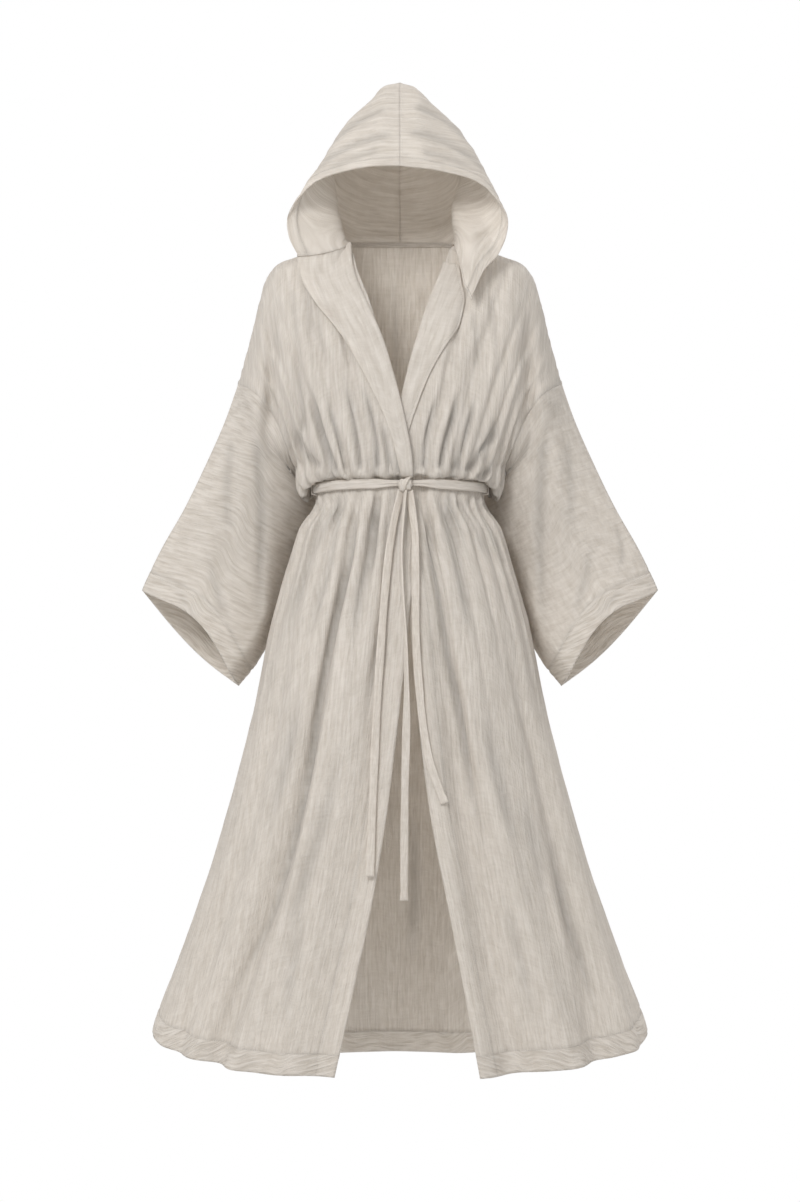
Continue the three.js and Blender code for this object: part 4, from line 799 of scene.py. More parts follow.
def back_panel():
    column = np.linspace(0, BACK_COLUMNS, 4 * BACK_COLUMNS + 1)
    share = column / BACK_COLUMNS
    angle = -math.pi / 2 - math.pi * share
    angle = np.where(angle < -math.pi, angle + 2 * math.pi, angle)
    rows = len(WAIST_LINES) + len(skirt_downs)
    phase = gather_phase(column, BACK_COLUMNS)
    body = body_grid(np.broadcast_to(angle, (rows, len(angle))), phase[None, :], WAIST_LINES, skirt_downs)
    right = column <= FRONT_COLUMNS
    left = column >= BACK_COLUMNS - FRONT_COLUMNS
    neck = column - FRONT_COLUMNS
    half = NECK_COLUMNS / 2
    top = np.where(right[:, None], along(RIDGE, 1 - column / FRONT_COLUMNS, -1),
                   along(RIDGE, 1 - (BACK_COLUMNS - column) / FRONT_COLUMNS, 1))
    collar = np.where((neck <= half)[:, None], along(NECKLINE, neck / half, -1),
                      along(NECKLINE, (NECK_COLUMNS - neck) / half, 1))
    top = np.where((right | left)[:, None], top, collar)[None]
    under = body[0][None]
    down = yoke_share(YOKE_LINES)[:, None, None]

    def bent(down):
        edges = []
        for side, near, corner in ((-1, 1 - share, under[:, :1]), (1, share, under[:, -1:])):
            armhole = along(ARMHOLE_BACK, down[:, 0, 0], side)[:, None]
            weight = (clamp(2 * near - 1) ** 2.4)[None, :, None]
            edges.append((weight, armhole, along(RIDGE, 1, side), corner))
        spots = patch(top, under, edges, down)
        gather = look_up(GATHER_FADE, "depth", spots[..., 2], "z") * phase
        inside = ease((share - 0.02) / 0.02) * ease((0.98 - share) / 0.02)
        spots[..., 1] -= gather * ease((down[..., 0] - 0.45) / 0.4) * inside
        return spots

    yoke = bent(down)
    yoke += (under - bent(np.ones((1, 1, 1)))) * ease((down - 0.6) / 0.4)
    return np.concatenate([yoke, body])


def small_gathers(spots, out):
    """Fine uneven gathers that fade away from the belt."""
    angle = np.degrees(np.arctan2(spots[..., 0], -spots[..., 1]))
    height = spots[..., 2]
    above = ease((height + 300) / -58) * (height > BELT_LINE)
    below = ease((SKIRT_TOP - height) / 14) * (1 - ease((-396 - height) / 120)) * (height <= BELT_LINE)
    ridge = pucker(angle, height, (4.6, 400), 3) + 0.7 * pucker(angle, height, (2.4, 300), 8)
    swing = (2.2 * above + 2.8 * below) * ridge
    return spots - out * swing[..., None], swing


def finish_panel(spots, side_sign, creases, facing_in, grain, down):
    """Adds creases, gathers and puckers. Also gives how deep in a crease each point lies, as the share of
    painted crease shade.
    """
    out = normals_of(spots) * side_sign
    front_on = clamp(out[..., 1] * facing_in * FRONT_ON)
    crease = crease_depth(spots, creases) * front_on
    spots = spots - out * (crease * CREASE_DEPTH)[..., None]
    spots, gather = small_gathers(spots, out)
    ridge = 0.55 * pucker(grain, down, (9, 80), 1) + 0.35 * pucker(grain, down, (15, 38), 5)
    return spots + out * (ridge * PUCKER_DEPTH)[..., None], clamp((crease + gather) / FULL_SHADE)


def tuck_under(spots, out, allowance):
    """Adds the seam allowance under the next panel, at the shoulder and at the side."""
    step = spots[:1] - spots[1:2]
    step /= np.linalg.norm(step, axis=-1, keepdims=True)
    spots = np.concatenate([spots[:1] + step * allowance - out[:1] * CLOTH, spots])
    out = np.concatenate([out[:1], out])
    step = spots[:, [-1]] - spots[:, [-2]]
    step /= np.linalg.norm(step, axis=-1, keepdims=True)
    more = spots[:, [-1]] + step * allowance - out[:, [-1]] * CLOTH
    return np.concatenate([spots, more], axis=1)


def with_allowance(grid, columns=0):
    """A grid with its first row repeated, and its last column, for the seam allowance."""
    return np.pad(grid, ((1, 0), (0, columns)), "edge")


def hem_share(down_from_hem, depth):
    return 1 - ease((down_from_hem - depth) / 1.5)


body_cotton = cotton("body_cotton", [(0.0032, 0.036, 0.55), (0.0065, 0.07, 0.3), (0.012, 0.016, 0.15)],
                     LIGHT, PAINTED_HOLLOW_SHADE, 0.0034)
front_base = {}
for name, side in (("right", -1), ("left", 1)):
    spots = front_panel(side, name)
    front_base[name] = spots
    across = lengths(spots, 1)
    down = lengths(spots, 0)
    to_hem = down[-1:] - down
    skirt = spots[..., 2] < SKIRT_FROM
    hem = hem_share(to_hem, HEM_DEPTH)
    facing = (1 - ease((across - FACING_WIDTH) / 2)) * skirt
    turned = np.maximum(hem, FACING_SHARE * facing)
    edge_x = spots[:, :1, 0] * side
    straight = spots[:, :1, 2] > SKIRT_TOP
    grain = across + np.where(straight, edge_x, edge_x[straight][-1])
    shaped, painted_crease_shade = finish_panel(spots, -side, CHEST_CREASES + SKIRT_CREASES, -1, grain, down)
    out = normals_of(shaped) * -side
    seam = np.maximum(bell(to_hem - HEM_DEPTH, 2.2), bell(across - FACING_WIDTH, 2.2) * skirt)
    seam = seam * (0.8 + 0.2 * pucker(down, across, (7, 40), 3))
    shaped = shaped - out * (GROOVE * seam)[..., None]
    # Painted shade is also laid along the stitched grooves.
    painted_crease_shade = np.maximum(painted_crease_shade, GROOVE_SHADE * seam)
    seam_side[name] = shaped[:YOKE_END, -1].copy()
    hem_row = int(np.argmin(np.abs(to_hem.mean(1) - HEM_DEPTH)))
    stitch_lines.append((shaped[hem_row], out[hem_row]))
    skirt_rows = np.flatnonzero(skirt[:, 0])
    picks = [int(np.argmin(np.abs(across[row] - FACING_WIDTH))) for row in skirt_rows]
    stitch_lines.append((shaped[skirt_rows, picks], out[skirt_rows, picks]))
    shaped = tuck_under(shaped, out, SEAM_ALLOWANCE)
    grids = [with_allowance(grid, 1) for grid in (grain, down, turned, painted_crease_shade)]
    piece = cloth_piece(f"front_{name}_cloth", shaped, *grids, flip=side > 0)
    piece.data.materials.append(body_cotton)
    with_wall(piece)
    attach(piece, "root")
    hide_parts(f"front_{name}")

spots = back_panel()
across = lengths(spots, 1)
down = lengths(spots, 0)
to_hem = down[-1:] - down
turned = hem_share(to_hem, HEM_DEPTH)
grain = across - across[:, [across.shape[1] // 2]]
shaped, painted_crease_shade = finish_panel(spots, 1, BACK_CREASES, 1, grain, down)
out = normals_of(shaped)
seam = bell(to_hem - HEM_DEPTH, 2.2)
shaped = shaped - out * (GROOVE * seam)[..., None]
# Painted shade is also laid along the stitched groove of the hem.
painted_crease_shade = np.maximum(painted_crease_shade, GROOVE_SHADE * seam)
seam_back = {"right": shaped[:YOKE_END, 0].copy(), "left": shaped[:YOKE_END, -1].copy()}
hem_row = int(np.argmin(np.abs(to_hem.mean(1) - HEM_DEPTH)))
stitch_lines.append((shaped[hem_row], out[hem_row]))
stitch_lines.append((shaped[hem_row] - out[hem_row] * TURNED, -out[hem_row]))
piece = cloth_piece("back_cloth", shaped, grain, down, turned, painted_crease_shade)
piece.data.materials.append(body_cotton)
with_wall(piece)
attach(piece, "root")
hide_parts("back")

# ---- Sleeves ------------------------------------------------------------------------------------
# Wide tubes set on a dropped armhole. The cuff is cut on a slant and turned in deep, and the
# crinkle of the cloth runs round the arm.
SLEEVE_TOP = ((250, 3, -214), (271, 4, -272), (298, 6, -333), (334, 8, -407), (370, 10, -470),
              (395, 11, -521), (401, 12, -535))
SLEEVE_UNDER = ((160, 5, -349), (161, 25, -363), (144, 54, -377), (125, 75, -393), (123, 81, -414),
                (142, 83, -450), (163, 84, -490), (179, 79, -535), (196, 66, -592), (219, 44, -642),
                (251, 20, -684))
SLEEVE_BULGE = {"front": (70, 46), "back": (80, 46)}
CUFF_LIFT = 40
CUFF_DROP = 17
CUFF_DEPTH = 34.0
SLEEVE_CREST = 211
SLEEVE_CREASES = {
    "right": [
        (9, 3, [(-222, -300), (-214, -400), (-216, -520), (-222, -610)]),
        (8, 2, [(-262, -300), (-268, -390), (-262, -470)]),
        (8, -2, [(-240, -280), (-246, -380), (-240, -500)]),
        (7, 2, [(-300, -470), (-280, -545), (-255, -600)]),
        (6, 1.5, [(-350, -520), (-330, -560), (-300, -590)]),
    ],
    "left": [
        (9, 3, [(222, -300), (216, -400), (218, -520), (226, -610)]),
        (8, 2, [(258, -300), (266, -390), (262, -470)]),
        (8, -2, [(238, -280), (246, -380), (244, -500)]),
        (7, 2, [(300, -450), (284, -530), (262, -590)]),
        (6, 1.5, [(348, -520), (326, -556), (300, -580)]),
        (5, 2, [(330, -420), (345, -470), (340, -520)]),
    ],
}


def sleeve_tube(side, front_edge, back_edge):
    steps = np.concatenate([YOKE_LINES, [YOKE_ROWS]])
    share = np.concatenate([np.linspace(0, 0.1, 14)[:-1], np.linspace(0.1, 1, 104)])[:, None]
    top = along(SLEEVE_TOP, share[:, 0], side)[:, None]
    under = along(SLEEVE_UNDER, share[:, 0], side)[:, None]
    reach = np.abs(under[..., 0]) - np.abs(top[..., 0])
    crest = clamp(mix((SLEEVE_CREST - np.abs(top[..., 0])) / reach, 0.9, ease((share - 0.7) / 0.3)))
    peak = np.clip(crest, 0.44, 0.9)
    t = mix(yoke_share(steps)[None], steps[None] / YOKE_ROWS, ease(share / 0.4))

    def face(s, a, b, front):
        spots = a + (b - a) * t[..., None]
        if front:
            depth = mix(*SLEEVE_BULGE["front"], s)
            rise = np.where(t < peak, np.sin(math.pi / 2 * clamp(t / peak)) ** 0.8,
                            np.abs(np.cos(math.pi / 2 * clamp((t - peak) / (1 - peak)))) ** 0.75)
            spots[..., 1] -= depth * rise
            spots[..., 2] += CUFF_LIFT * s * s * np.sin(math.pi * t ** 1.3)
        else:
            depth = mix(*SLEEVE_BULGE["back"], s)
            spots[..., 1] += depth * np.abs(np.sin(math.pi * t)) ** 0.8
            spots[..., 2] -= CUFF_DROP * s * s * np.sin(math.pi * t)
        return spots

    halves = []
    blend = (clamp(1 - share / 0.3) ** 2)[..., None]
    start_top = along(SLEEVE_TOP, 0, side)
    start_under = along(SLEEVE_UNDER, 0, side)
    for front, edge in ((True, front_edge), (False, back_edge)):
        spots = face(share, top, under, front)
        spots = spots + (edge[None] - face(0 * share, start_top, start_under, front)) * blend
        halves.append(spots)
    return np.concatenate([halves[0], halves[1][:, -2::-1]], axis=1)


sleeve_cotton = {
    "right": cotton("right_sleeve_cotton", [(0.034, 0.0042, 0.55), (0.06, 0.008, 0.3), (0.01, 0.01, 0.15)],
                    LIGHT, PAINTED_HOLLOW_SHADE, 0.0028),
    "left": cotton("left_sleeve_cotton", [(0.0075, 0.024, 0.42), (0.03, 0.006, 0.38), (0.012, 0.012, 0.2)],
                   LIGHT, PAINTED_HOLLOW_SHADE, 0.0025),
}
for name, side in (("right", -1), ("left", 1)):
    spots = sleeve_tube(side, seam_side[name], seam_back[name])
    across = lengths(spots, 1)
    down = lengths(spots, 0)
    to_cuff = down[-1:] - down
    out = normals_of(spots) * side
    out[:, 0] = out[:, -1] = (out[:, 0] + out[:, -1]) / 2
    turned = hem_share(to_cuff, CUFF_DEPTH)
    front_on = clamp(-out[..., 1] * FRONT_ON)
    fade = ease(down / 40)
    crease = crease_depth(spots, SLEEVE_CREASES[name]) * front_on
    ridge = 0.6 * pucker(across, down, (60, 9), 2) + 0.5 * pucker(across, down, (30, 14), 6)
    ring = np.sin(math.pi * np.linspace(0, 1, spots.shape[1]))[None] ** 0.5
    shaped = spots - out * ((crease - ridge * ring * PUCKER_DEPTH) * fade)[..., None]
    seam = bell(to_cuff - CUFF_DEPTH, 2.2)
    shaped = shaped - out * (GROOVE * seam)[..., None]
    # Painted shade in the sleeve's creases and along the cuff's stitched groove.
    painted_crease_shade = np.maximum(clamp(crease * fade / FULL_SHADE), GROOVE_SHADE * seam)
    cuff_row = int(np.argmin(np.abs(to_cuff.mean(1) - CUFF_DEPTH)))
    stitch_lines.append((shaped[cuff_row], out[cuff_row]))
    armhole = shaped[:1] - out[:1] * CLOTH
    step = shaped[:1] - shaped[1:2]
    step /= np.linalg.norm(step, axis=-1, keepdims=True)
    shaped = np.concatenate([armhole + step * SEAM_ALLOWANCE, armhole, shaped[1:]])
    shaped[:, -1] = shaped[:, 0]
    grids = [with_allowance(grid) for grid in (across, down, turned, painted_crease_shade)]
    piece = cloth_piece(f"sleeve_{name}_cloth", shaped, *grids, ring=True, flip=side < 0)
    piece.data.materials.append(sleeve_cotton[name])
    with_wall(piece)
    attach(piece, "root")
    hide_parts(f"sleeve_{name}")

# ---- Hood -----------------------------------------------------------------------------------------
# Two halves with a seam over the crown, sewn to the neck. The rim is turned in narrow.
HOOD_TOP = ((0, -120, 108), (0, -84, 158), (0, -30, 222), (0, 10, 252), (0, 52, 250), (0, 96, 216),
            (0, 126, 152), (0, 132, 96))
HOOD_BACK = ((0, 103, 14), (0, 122, 46), (0, 132, 96))
HOOD_RIM = {
    "right": ((157, -58, -20), (170, -62, 6), (173, -70, 33), (157, -90, 59), (136, -100, 80),
              (104, -108, 95), (53, -116, 106), (0, -120, 108)),
    "left": ((108, -100, -92), (127, -86, -50), (151, -66, -21), (163, -64, 8), (164, -72, 33),
             (151, -90, 57), (122, -103, 83), (60, -115, 101), (0, -120, 108)),
}
HOOD_FOOT = {
    "right": ((157, -58, -20), (128, -62, -18), (98, -60, -12), (80, -42, -4), (85, 10, 5)),
    "left": ((108, -100, -92), (97, -94, -66), (92, -82, -36), (87, -50, -4), (85, 10, 5)),
}
HOOD_FOOT_COLUMNS = 6
HOOD_SWELL = {"right": 44, "left": 10}
HOOD_CROWN = {"lift": 9, "place": 26, "spread": 18}
HOOD_CREASE = {"column": 0.46, "spread": 0.13, "depth": 22}
RIM_DEPTH = 16.0
HOOD_CREASES = {
    "right": [
        (6, 2.5, [(-20, 205), (-60, 190), (-100, 160), (-140, 120)]),
        (7, 3, [(-10, 160), (-60, 150), (-110, 125), (-150, 90)]),
        (6, 2.5, [(-30, 135), (-80, 120), (-130, 95)]),
        (6, -2, [(-15, 180), (-60, 168), (-110, 140)]),
        (6, 2.5, [(-165, 40), (-160, 10), (-150, -15)]),
    ],
    "left": [
        (6, 2.5, [(20, 210), (60, 195), (100, 165), (135, 125)]),
        (7, 3, [(10, 165), (60, 155), (108, 130), (146, 95)]),
        (6, 2.5, [(34, 132), (80, 122), (126, 100)]),
        (6, 2.5, [(158, 40), (154, 5), (138, -30), (120, -70)]),
        (6, -2, [(148, 50), (143, 5), (126, -35)]),
    ],
}


def hood_half(side, name):
    last = HOOD_FOOT_COLUMNS + NECK_COLUMNS / 2
    column = np.concatenate([np.linspace(0, 1.2, 22)[:-1], np.linspace(1.2, last, 88)])
    w = (column / last)[None, :, None]
    up = np.linspace(0, 1, 106)[:, None, None]
    foot = np.where((column <= HOOD_FOOT_COLUMNS)[:, None],
                    along(HOOD_FOOT[name], column / HOOD_FOOT_COLUMNS, side),
                    along(NECKLINE, (column - HOOD_FOOT_COLUMNS) / (NECK_COLUMNS / 2), side))[None]
    top = along(HOOD_TOP, w[0, :, 0], side)[None]
    rim = along(HOOD_RIM[name], up[:, 0, 0], side)[:, None]
    back = along(HOOD_BACK, up[:, 0, 0], side)[:, None]
    corners = [along(HOOD_RIM[name], 0, side), along(HOOD_RIM[name], 1, side), along(HOOD_BACK, 0, side),
               along(HOOD_BACK, 1, side)]
    level = mix(foot, top, up) + mix(rim, back, w)
    spots = level - mix(mix(corners[0], corners[1], up), mix(corners[2], corners[3], up), w)
    w, up = w[..., 0], up[..., 0]
    swell = np.sin(math.pi * clamp(w)) ** 0.8 * np.sin(math.pi * clamp(up)) ** 0.8
    dent = HOOD_CREASE["depth"] * bell(w - HOOD_CREASE["column"], HOOD_CREASE["spread"])
    dent = dent * np.sin(math.pi * clamp(up / 0.5)) ** 1.2
    spots[..., 0] += side * (HOOD_SWELL[name] * swell - dent)
    spots[:, -1, 0] = 0
    spots[-1, :, 0] = 0
    crown = HOOD_CROWN["lift"] * bell(np.abs(spots[..., 0]) - HOOD_CROWN["place"], HOOD_CROWN["spread"])
    spots[..., 2] += crown * ease((up - 0.6) / 0.2) * ease(w / 0.15) * ease((0.75 - w) / 0.3)
    return spots, (1 - ease(w / 0.5)) * (1 - ease(up / 0.6))


hood_cotton = cotton("hood_cotton", [(0.045, 0.0045, 0.5), (0.08, 0.010, 0.35), (0.012, 0.014, 0.15)],
                     LIGHT, PAINTED_HOLLOW_SHADE, 0.0034)
for name, side in (("right", -1), ("left", 1)):
    spots, beside_face = hood_half(side, name)
    across = lengths(spots, 1)
    down = lengths(spots, 0)
    out = normals_of(spots) * side
    turned = FACING_SHARE * (1 - ease((across - RIM_DEPTH) / 1.5))
    rib_along = mix(spots[..., 0], down, beside_face)
    rib_across = mix(spots[..., 2] + 0.5 * spots[..., 1], across, beside_face)
    crease = crease_depth(spots, HOOD_CREASES[name]) * clamp(-out[..., 1] * 0.8 + 0.6)
    long_ridges = pucker(rib_along, rib_across, (60, 10), 4)
    short_ridges = pucker(rib_along, rib_across, (34, 17), 9)
    ridge = 0.7 * long_ridges + 0.6 * short_ridges
    centre = ease((down[-1:] - down) / 12) * ease((across[:, -1:] - across) / 12) * ease(down / 10)
    shaped = spots - out * ((crease - ridge * 1.2) * centre)[..., None]
    seam = bell(across - RIM_DEPTH, 2.0)
    shaped = shaped - out * (GROOVE * seam)[..., None]
    # Painted shade in the hood's creases and along the rim's stitched groove.
    painted_crease_shade = np.maximum(clamp(crease * centre / FULL_SHADE), GROOVE_SHADE * seam)
    picks = np.abs(across - RIM_DEPTH).argmin(1)
    rows = np.arange(len(picks))
    stitch_lines.append((shaped[rows, picks], out[rows, picks]))
    stitch_lines.append((shaped[rows, picks] - out[rows, picks] * TURNED, -out[rows, picks]))
    foot = shaped[:1] + np.array([0, 0, -SEAM_ALLOWANCE]) - out[:1] * 2 * CLOTH
    shaped = np.concatenate([foot, shaped])
    grids = [with_allowance(grid) for grid in (rib_along, rib_across, turned, painted_crease_shade)]
    piece = cloth_piece(f"hood_{name}_cloth", shaped, *grids, flip=side < 0)
    piece.data.materials.append(hood_cotton)
    with_wall(piece)
    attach(piece, "root")
    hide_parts(f"hood_{name}")

# ---- Lapels ---------------------------------------------------------------------------------------
# The fronts' edges are turned back from the hood's rim down to the belt. The roll is soft, and
# the turned edge stands off the front.
LAPEL = {
    "right": {
        "z": [-13, -45, -92, -154, -215, -292, -346, -363],
        "width": [81, 78, 73, 56, 40, 24, 18, 13],
        "stand": [0, 5, 6, 4, 2.5, 1.6, 1.6, 1.6],
    },
    "left": {
        "z": [-34, -60, -92, -128, -154, -215, -292, -346, -360],
        "width": [20, 34, 52, 57, 47, 31, 20, 16, 13],
        "stand": [2, 2, 2, 2, 1.8, 1.4, 1.2, 1.2, 1.2],
    },
}
LAPEL_LIFT = 1.5
LAPEL_WALL = 2.0
LAPEL_ROWS = 14
LAPEL_LINES = 180
LAPEL_POINTS = 34
ROLL = [(-1.0, -2.0), (0.6, -1.4), (1.5, -0.2), (1.4, 0.9)]  # past the edge, and out from it


def lapel_strip(side, name, base):
    table = LAPEL[name]
    share = np.linspace(0, 1, LAPEL_LINES)
    z = mix(table["z"][0], table["z"][-1], share)
    width = look_up(table, "width", z, "z")
    stand = look_up(table, "stand", z, "z")
    across = np.linspace(0, 1, LAPEL_POINTS)
    edge_z = base[:, 0, 2]
    place = np.interp(-z, -edge_z, np.arange(len(edge_z)))
    low = np.floor(place).astype(int)
    part = (place - low)[:, None, None]
    lines = base[low] * (1 - part) + base[np.minimum(low + 1, len(base) - 1)] * part
    run = lengths(lines, 1)
    spots = np.empty((LAPEL_LINES, LAPEL_POINTS, 3))
    for row in range(LAPEL_LINES):
        for axis in range(3):
            spots[row, :, axis] = np.interp(width[row] * across, run[row], lines[row, :, axis])
    spots[..., 1] -= mix(LAPEL_LIFT, stand[:, None], across[None])
    if side < 0:
        top = along(HOOD_FOOT["right"], (1 - across) * 4 / HOOD_FOOT_COLUMNS, side)[None]
        row = (share * LAPEL_ROWS)[:, None]
        hold = clamp(1 - row / (0.52 * LAPEL_ROWS)) ** 0.96
        free = np.broadcast_to(top, spots.shape).copy()
        free[..., 2] += (z[:, None] - z[0]) * (1 - 0.1 * across[None])
        free[..., 0] = mix(free[..., 0], spots[..., 0], ease(row / (0.5 * LAPEL_ROWS)))
        fall = mix(top[..., 1], -96, ease(row / (0.6 * LAPEL_ROWS)))
        free[..., 1] = np.minimum(fall, spots[..., 1])
        spots = mix(spots, free, hold[..., None])
    return spots


lapel_cotton = cotton("lapel_cotton", [(0.0055, 0.045, 0.5), (0.011, 0.06, 0.3), (0.018, 0.018, 0.2)],
                      LIGHT, PAINTED_HOLLOW_SHADE, 0.0022)
for name, side in (("right", -1), ("left", 1)):
    spots = lapel_strip(side, name, front_base[name])
    out = normals_of(spots) * -side
    outward = spots[:, :1] - spots[:, 1:2]
    outward /= np.linalg.norm(outward, axis=-1, keepdims=True)
    roll = [spots[:, :1] + outward * past + out[:, :1] * (lift - LAPEL_LIFT) for past, lift in ROLL]
    spots = np.concatenate(roll + [spots], axis=1)
    out = normals_of(spots) * -side
    across = lengths(spots, 1)
    down = lengths(spots, 0)
    ridge = 0.6 * pucker(across, down, (11, 55), 7) + 0.5 * pucker(across, down, (20, 34), 11)
    calm = ease(across / 8) * ease(down / 8)
    spots = spots + out * (ridge * calm * 0.8)[..., None]
    if side > 0:
        picks = np.abs(across - (across[:, -1:] - 5)).argmin(1)
        rows = np.arange(len(picks))
        stitch_lines.append((spots[rows, picks] + out[rows, picks] * LAPEL_WALL, out[rows, picks]))
    piece = cloth_piece(f"lapel_{name}_cloth", spots, across, down, flip=side > 0)
    piece.data.materials.append(lapel_cotton)
    wall = piece.modifiers.new("wall", "SOLIDIFY")
    wall.thickness = LAPEL_WALL * MM
    wall.offset = 1.0
    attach(piece, "root")
    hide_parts(f"lapel_{name}")

# ---- Neck seam --------------------------------------------------------------------------------------
# A narrow bound seam joins the hood to the back of the neck, on the inside.
SEAM_TAPE = (9.0, 1.8)
tape_share = np.linspace(0.06, 1, 60)
tape_path = np.vstack([along(NECKLINE, tape_share, -1), along(NECKLINE, tape_share[-2::-1], 1)])
inward = np.stack([-tape_path[:, 0], 20 - tape_path[:, 1], 0 * tape_path[:, 2]], axis=1)
inward /= np.linalg.norm(inward, axis=1, keepdims=True)
tape_path = tape_path + inward * 2.6 + np.array([0, 0, -3.0])
turn = np.linspace(0, 2 * math.pi, 16, endpoint=False)
tape_out = np.sign(np.cos(turn)) * np.abs(np.cos(turn)) ** 0.8 * SEAM_TAPE[1] / 2
tape_up = np.sign(np.sin(turn)) * np.abs(np.sin(turn)) ** 0.6 * SEAM_TAPE[0] / 2
section_out = np.append(tape_out, tape_out[0])[None, :, None]
section_up = np.append(tape_up, tape_up[0])[None, :, None]
ends = np.sin(math.pi * np.linspace(0.04, 0.96, len(tape_path)))[:, None, None] ** 0.5
spots = tape_path[:, None] + ends * (inward[:, None] * section_out + np.array([0, 0, 1.0]) * section_up)
piece = cloth_piece("neck_seam", spots, lengths(spots, 1), lengths(spots, 0), ring=True, capped=True)
piece.data.materials.append(trim_cotton)
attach(piece, "root")

# ---- Belt -------------------------------------------------------------------------------------------
# A narrow sewn tube, pressed flat, with a rib near its lower edge. It narrows into the knot.
BELT = {"height": 15.0, "thickness": 6.5, "z": BELT_LINE, "sag": 6.0, "ridge": 1.4}
BELT_STEPS = 260
KNOT = {"x": 8.0, "y": -104.25, "z": -375.0, "width": 20.0, "height": 18.0, "depth": 12.0}
WAIST_HALF = {"side": 129.0, "front": 90.0, "back": 93.0}


def belt_spot(angle, out, up):
    x, y = section(angle, WAIST_HALF["side"] + out, WAIST_HALF["front"] + out, WAIST_HALF["back"] + out)
    drop = BELT["sag"] * ease(np.degrees(np.abs(angle)) / 90)
    return np.stack([x, y, BELT["z"] - drop + up], axis=-1)


angle = np.linspace(-math.pi, math.pi, BELT_STEPS)[:, None]
turn = np.linspace(0, 2 * math.pi, 33)[None]
knot_gap = np.abs(np.degrees(angle) - 4.5)
narrow = mix(0.62, 1, ease((knot_gap - 5) / 16))
pinch = 1 - ease((knot_gap - 4) / 26)
round_x = np.sign(np.cos(turn)) * np.abs(np.cos(turn)) ** 0.62
round_z = np.sign(np.sin(turn)) * np.abs(np.sin(turn)) ** 0.62
rib = 1 - 0.24 * bell(round_z + 0.42, 0.16) + 0.06 * bell(round_z + 0.72, 0.16)
wrinkle = pinch * 0.5 * np.sin(round_z * 7 + knot_gap * 0.15)
wrinkle = wrinkle + 0.18 * pucker(np.degrees(angle), turn, (5, 1.4), 2)
middle = BELT["ridge"] + BELT["thickness"] / 2
belt_out = middle + round_x * rib * BELT["thickness"] / 2 + wrinkle * (round_x > 0)
belt_up = round_z * BELT["height"] / 2 * narrow + 0.35 * np.sin(np.degrees(angle) / 9)
spots = belt_spot(angle, belt_out, belt_up)
spots[-1] = spots[0]
around = lengths(spots, 0)
piece = cloth_piece("belt_cloth", spots.transpose(1, 0, 2), around.T, lengths(spots, 1).T, ring=True)
# The tube closes on itself both ways, so its faces are turned outward together.
belt_shape = bmesh.new()
belt_shape.from_mesh(piece.data)
bmesh.ops.recalc_face_normals(belt_shape, faces=belt_shape.faces)
belt_shape.to_mesh(piece.data)
belt_shape.free()
belt_cotton = cotton("belt_cotton", [(0.03, 0.0022, 0.7), (0.06, 0.005, 0.3)], LIGHT, PAINTED_HOLLOW_SHADE, 0.0006)
piece.data.materials.append(belt_cotton)
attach(piece, "root")
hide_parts("belt")

# ---- Knot ---------------------------------------------------------------------------------------------
# The belt's ends are tied once over each other. A band passes over the front of the lump, and
# the ends leave below it.
KNOT_CUTS = 11
KNOT_GROOVES = {"places": (-0.16, 0.22), "width": 0.06, "depth": 0.11}
knot_shape = bmesh.new()
bmesh.ops.create_cube(knot_shape, size=1.0)
bmesh.ops.subdivide_edges(knot_shape, edges=knot_shape.edges, cuts=KNOT_CUTS, use_grid_fill=True)
for vert in knot_shape.verts:
    round_to = vert.co.normalized() * 0.5
    vert.co = vert.co.lerp(round_to * 1.12, 0.62)
    across_knot = vert.co.x * 0.8 + vert.co.z * 0.6
    groove = sum(math.exp(-((across_knot - place) / KNOT_GROOVES["width"]) ** 2)
                 for place in KNOT_GROOVES["places"])
    vert.co *= 1 - KNOT_GROOVES["depth"] * groove
    vert.co.x *= KNOT["width"] * MM * 0.98
    vert.co.y *= KNOT["depth"] * MM * 1.02
    vert.co.z *= KNOT["height"] * MM * 0.98
knot_place = Vector((KNOT["x"], KNOT["y"], KNOT["z"])) * MM
bmesh.ops.translate(knot_shape, verts=knot_shape.verts, vec=knot_place)
knot_mesh = bpy.data.meshes.new("knot_core")
knot_cut = knot_shape.loops.layers.uv.new("cut")
for face in knot_shape.faces:
    face.smooth = True
    for loop in face.loops:
        loop[knot_cut].uv = (loop.vert.co.x, loop.vert.co.z)
knot_shape.to_mesh(knot_mesh)
knot_shape.free()
knot_core = bpy.data.objects.new("knot_core", knot_mesh)
scene.collection.objects.link(knot_core)
knot_mesh.materials.append(trim_cotton)
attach(knot_core, "root")
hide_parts("belt_knot")

KNOT_BAND = ((13, -99, -365.5), (12.5, -106, -365), (9, -111.2, -369), (5.5, -111.6, -376),
             (3.5, -109, -383), (3.5, -103, -386))
BAND_LINES = 40
BAND_TURN = 18.0
path = along(KNOT_BAND, np.linspace(0, 1, BAND_LINES))
girth = np.ones((BAND_LINES, 2))
girth[:, 0] = 1 - 0.15 * np.sin(np.linspace(0, math.pi, BAND_LINES))
band_section = pressed_section(9.0, 2.6, rib=0.22)
piece = tube_along("knot_band", path, band_section, np.full(BAND_LINES, BAND_TURN), girth)
piece.data.materials.append(trim_cotton)
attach(piece, "root")

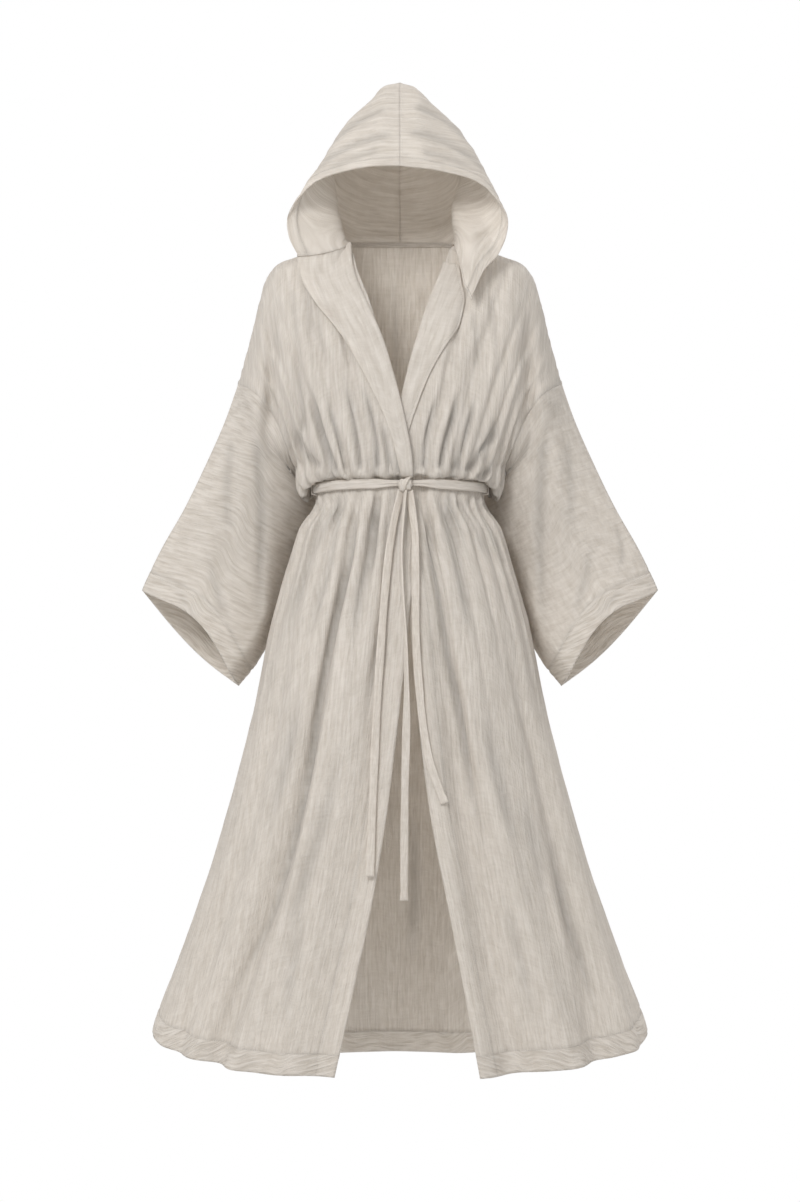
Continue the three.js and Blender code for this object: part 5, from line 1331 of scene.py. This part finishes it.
# ---- Belt loops ---------------------------------------------------------------------------------------
# A narrow strap is sewn into each side seam above and below the belt and holds it loosely.
LOOP = {"angle": 80, "width": 5.0, "wall": 1.4, "clear": 0.5}
for name, side in (("right", -1), ("left", 1)):
    near = BELT["ridge"] + BELT["thickness"] + LOOP["clear"] + LOOP["wall"] / 2
    half = BELT["height"] / 2 + LOOP["clear"] + 0.6 + LOOP["wall"] / 2
    route = ((0.4, half + 0.4), (near - 3, half), (near - 0.6, half - 0.8), (near, half - 3), (near, 0),
             (near, 3 - half), (near - 0.6, 0.8 - half), (near - 3, -half), (0.4, -half - 0.4))
    profile = along(tuple((a, b, 0) for a, b in route), np.linspace(0, 1, 44))
    angle = math.radians(LOOP["angle"]) * side
    spread = np.linspace(-0.5, 0.5, 7) * LOOP["width"] / (WAIST_HALF["side"] + near)
    crown = 0.4 * (1 - (2 * np.linspace(-0.5, 0.5, 7)) ** 2)
    spots = belt_spot(angle + spread[None], profile[:, :1] + crown[None], profile[:, 1:2])
    piece = cloth_piece(f"belt_loop_{name}_cloth", spots, lengths(spots, 1), lengths(spots, 0), flip=True)
    piece.data.materials.append(trim_cotton)
    wall = piece.modifiers.new("wall", "SOLIDIFY")
    wall.thickness = LOOP["wall"] * MM
    wall.offset = 0.0
    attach(piece, "root")
    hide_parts(f"belt_loop_{name}")

# ---- Stitching ----------------------------------------------------------------------------------------
# Cotton thread holds the hem, the cuffs, the facings, the hood's rim and a lapel.
STITCH = {"pitch": 3.4, "length": 2.5, "girth": 0.5, "ahead": 0.8}
THREAD_LIFT = 0.1
# The thread's colour, and the painted shade in the hollows of its fine relief.
THREAD_LIGHT = (0.62, 0.585, 0.535)
THREAD_PAINTED_HOLLOW_SHADE = (0.5, 0.465, 0.42)
thread = bmesh.new()
for line, out in stitch_lines:
    run = np.concatenate([[0], np.cumsum(np.linalg.norm(np.diff(line, axis=0), axis=1))])
    marks = np.arange(STITCH["pitch"] / 2, run[-1], STITCH["pitch"])
    spots = np.stack([np.interp(marks, run, line[:, axis]) for axis in range(3)], axis=1)
    ahead = np.stack([np.interp(marks + STITCH["ahead"], run, line[:, axis]) for axis in range(3)], axis=1)
    tops = np.stack([np.interp(marks, run, out[:, axis]) for axis in range(3)], axis=1)
    for spot, further, top in zip(spots, ahead, tops):
        forth = Vector(further - spot)
        top = Vector(top)
        if forth.length < 1e-6 or top.length < 1e-6:
            continue
        forth.normalize()
        over = (top - forth * top.dot(forth)).normalized()
        aside = over.cross(forth)
        turn = Matrix((forth, aside, over)).transposed().to_4x4()
        girth = STITCH["girth"] * MM / 2
        grow = Matrix.Diagonal((STITCH["length"] * MM / 2, girth, girth, 1.0))
        place = Matrix.Translation(Vector(spot) * MM + over * THREAD_LIFT * MM)
        bmesh.ops.create_icosphere(thread, subdivisions=1, radius=1.0, matrix=place @ turn @ grow)
thread_cut = thread.loops.layers.uv.new("cut")
for face in thread.faces:
    face.smooth = True
    for loop in face.loops:
        loop[thread_cut].uv = (loop.vert.co.x, loop.vert.co.z)
thread_mesh = bpy.data.meshes.new("stitching")
thread.to_mesh(thread_mesh)
thread.free()
stitching = bpy.data.objects.new("stitching", thread_mesh)
scene.collection.objects.link(stitching)
thread_cotton = cotton("thread_cotton", [(0.0006, 0.002, 1.0)], THREAD_LIGHT, THREAD_PAINTED_HOLLOW_SHADE, 0.0001)
thread_mesh.materials.append(thread_cotton)
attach(stitching, "root")
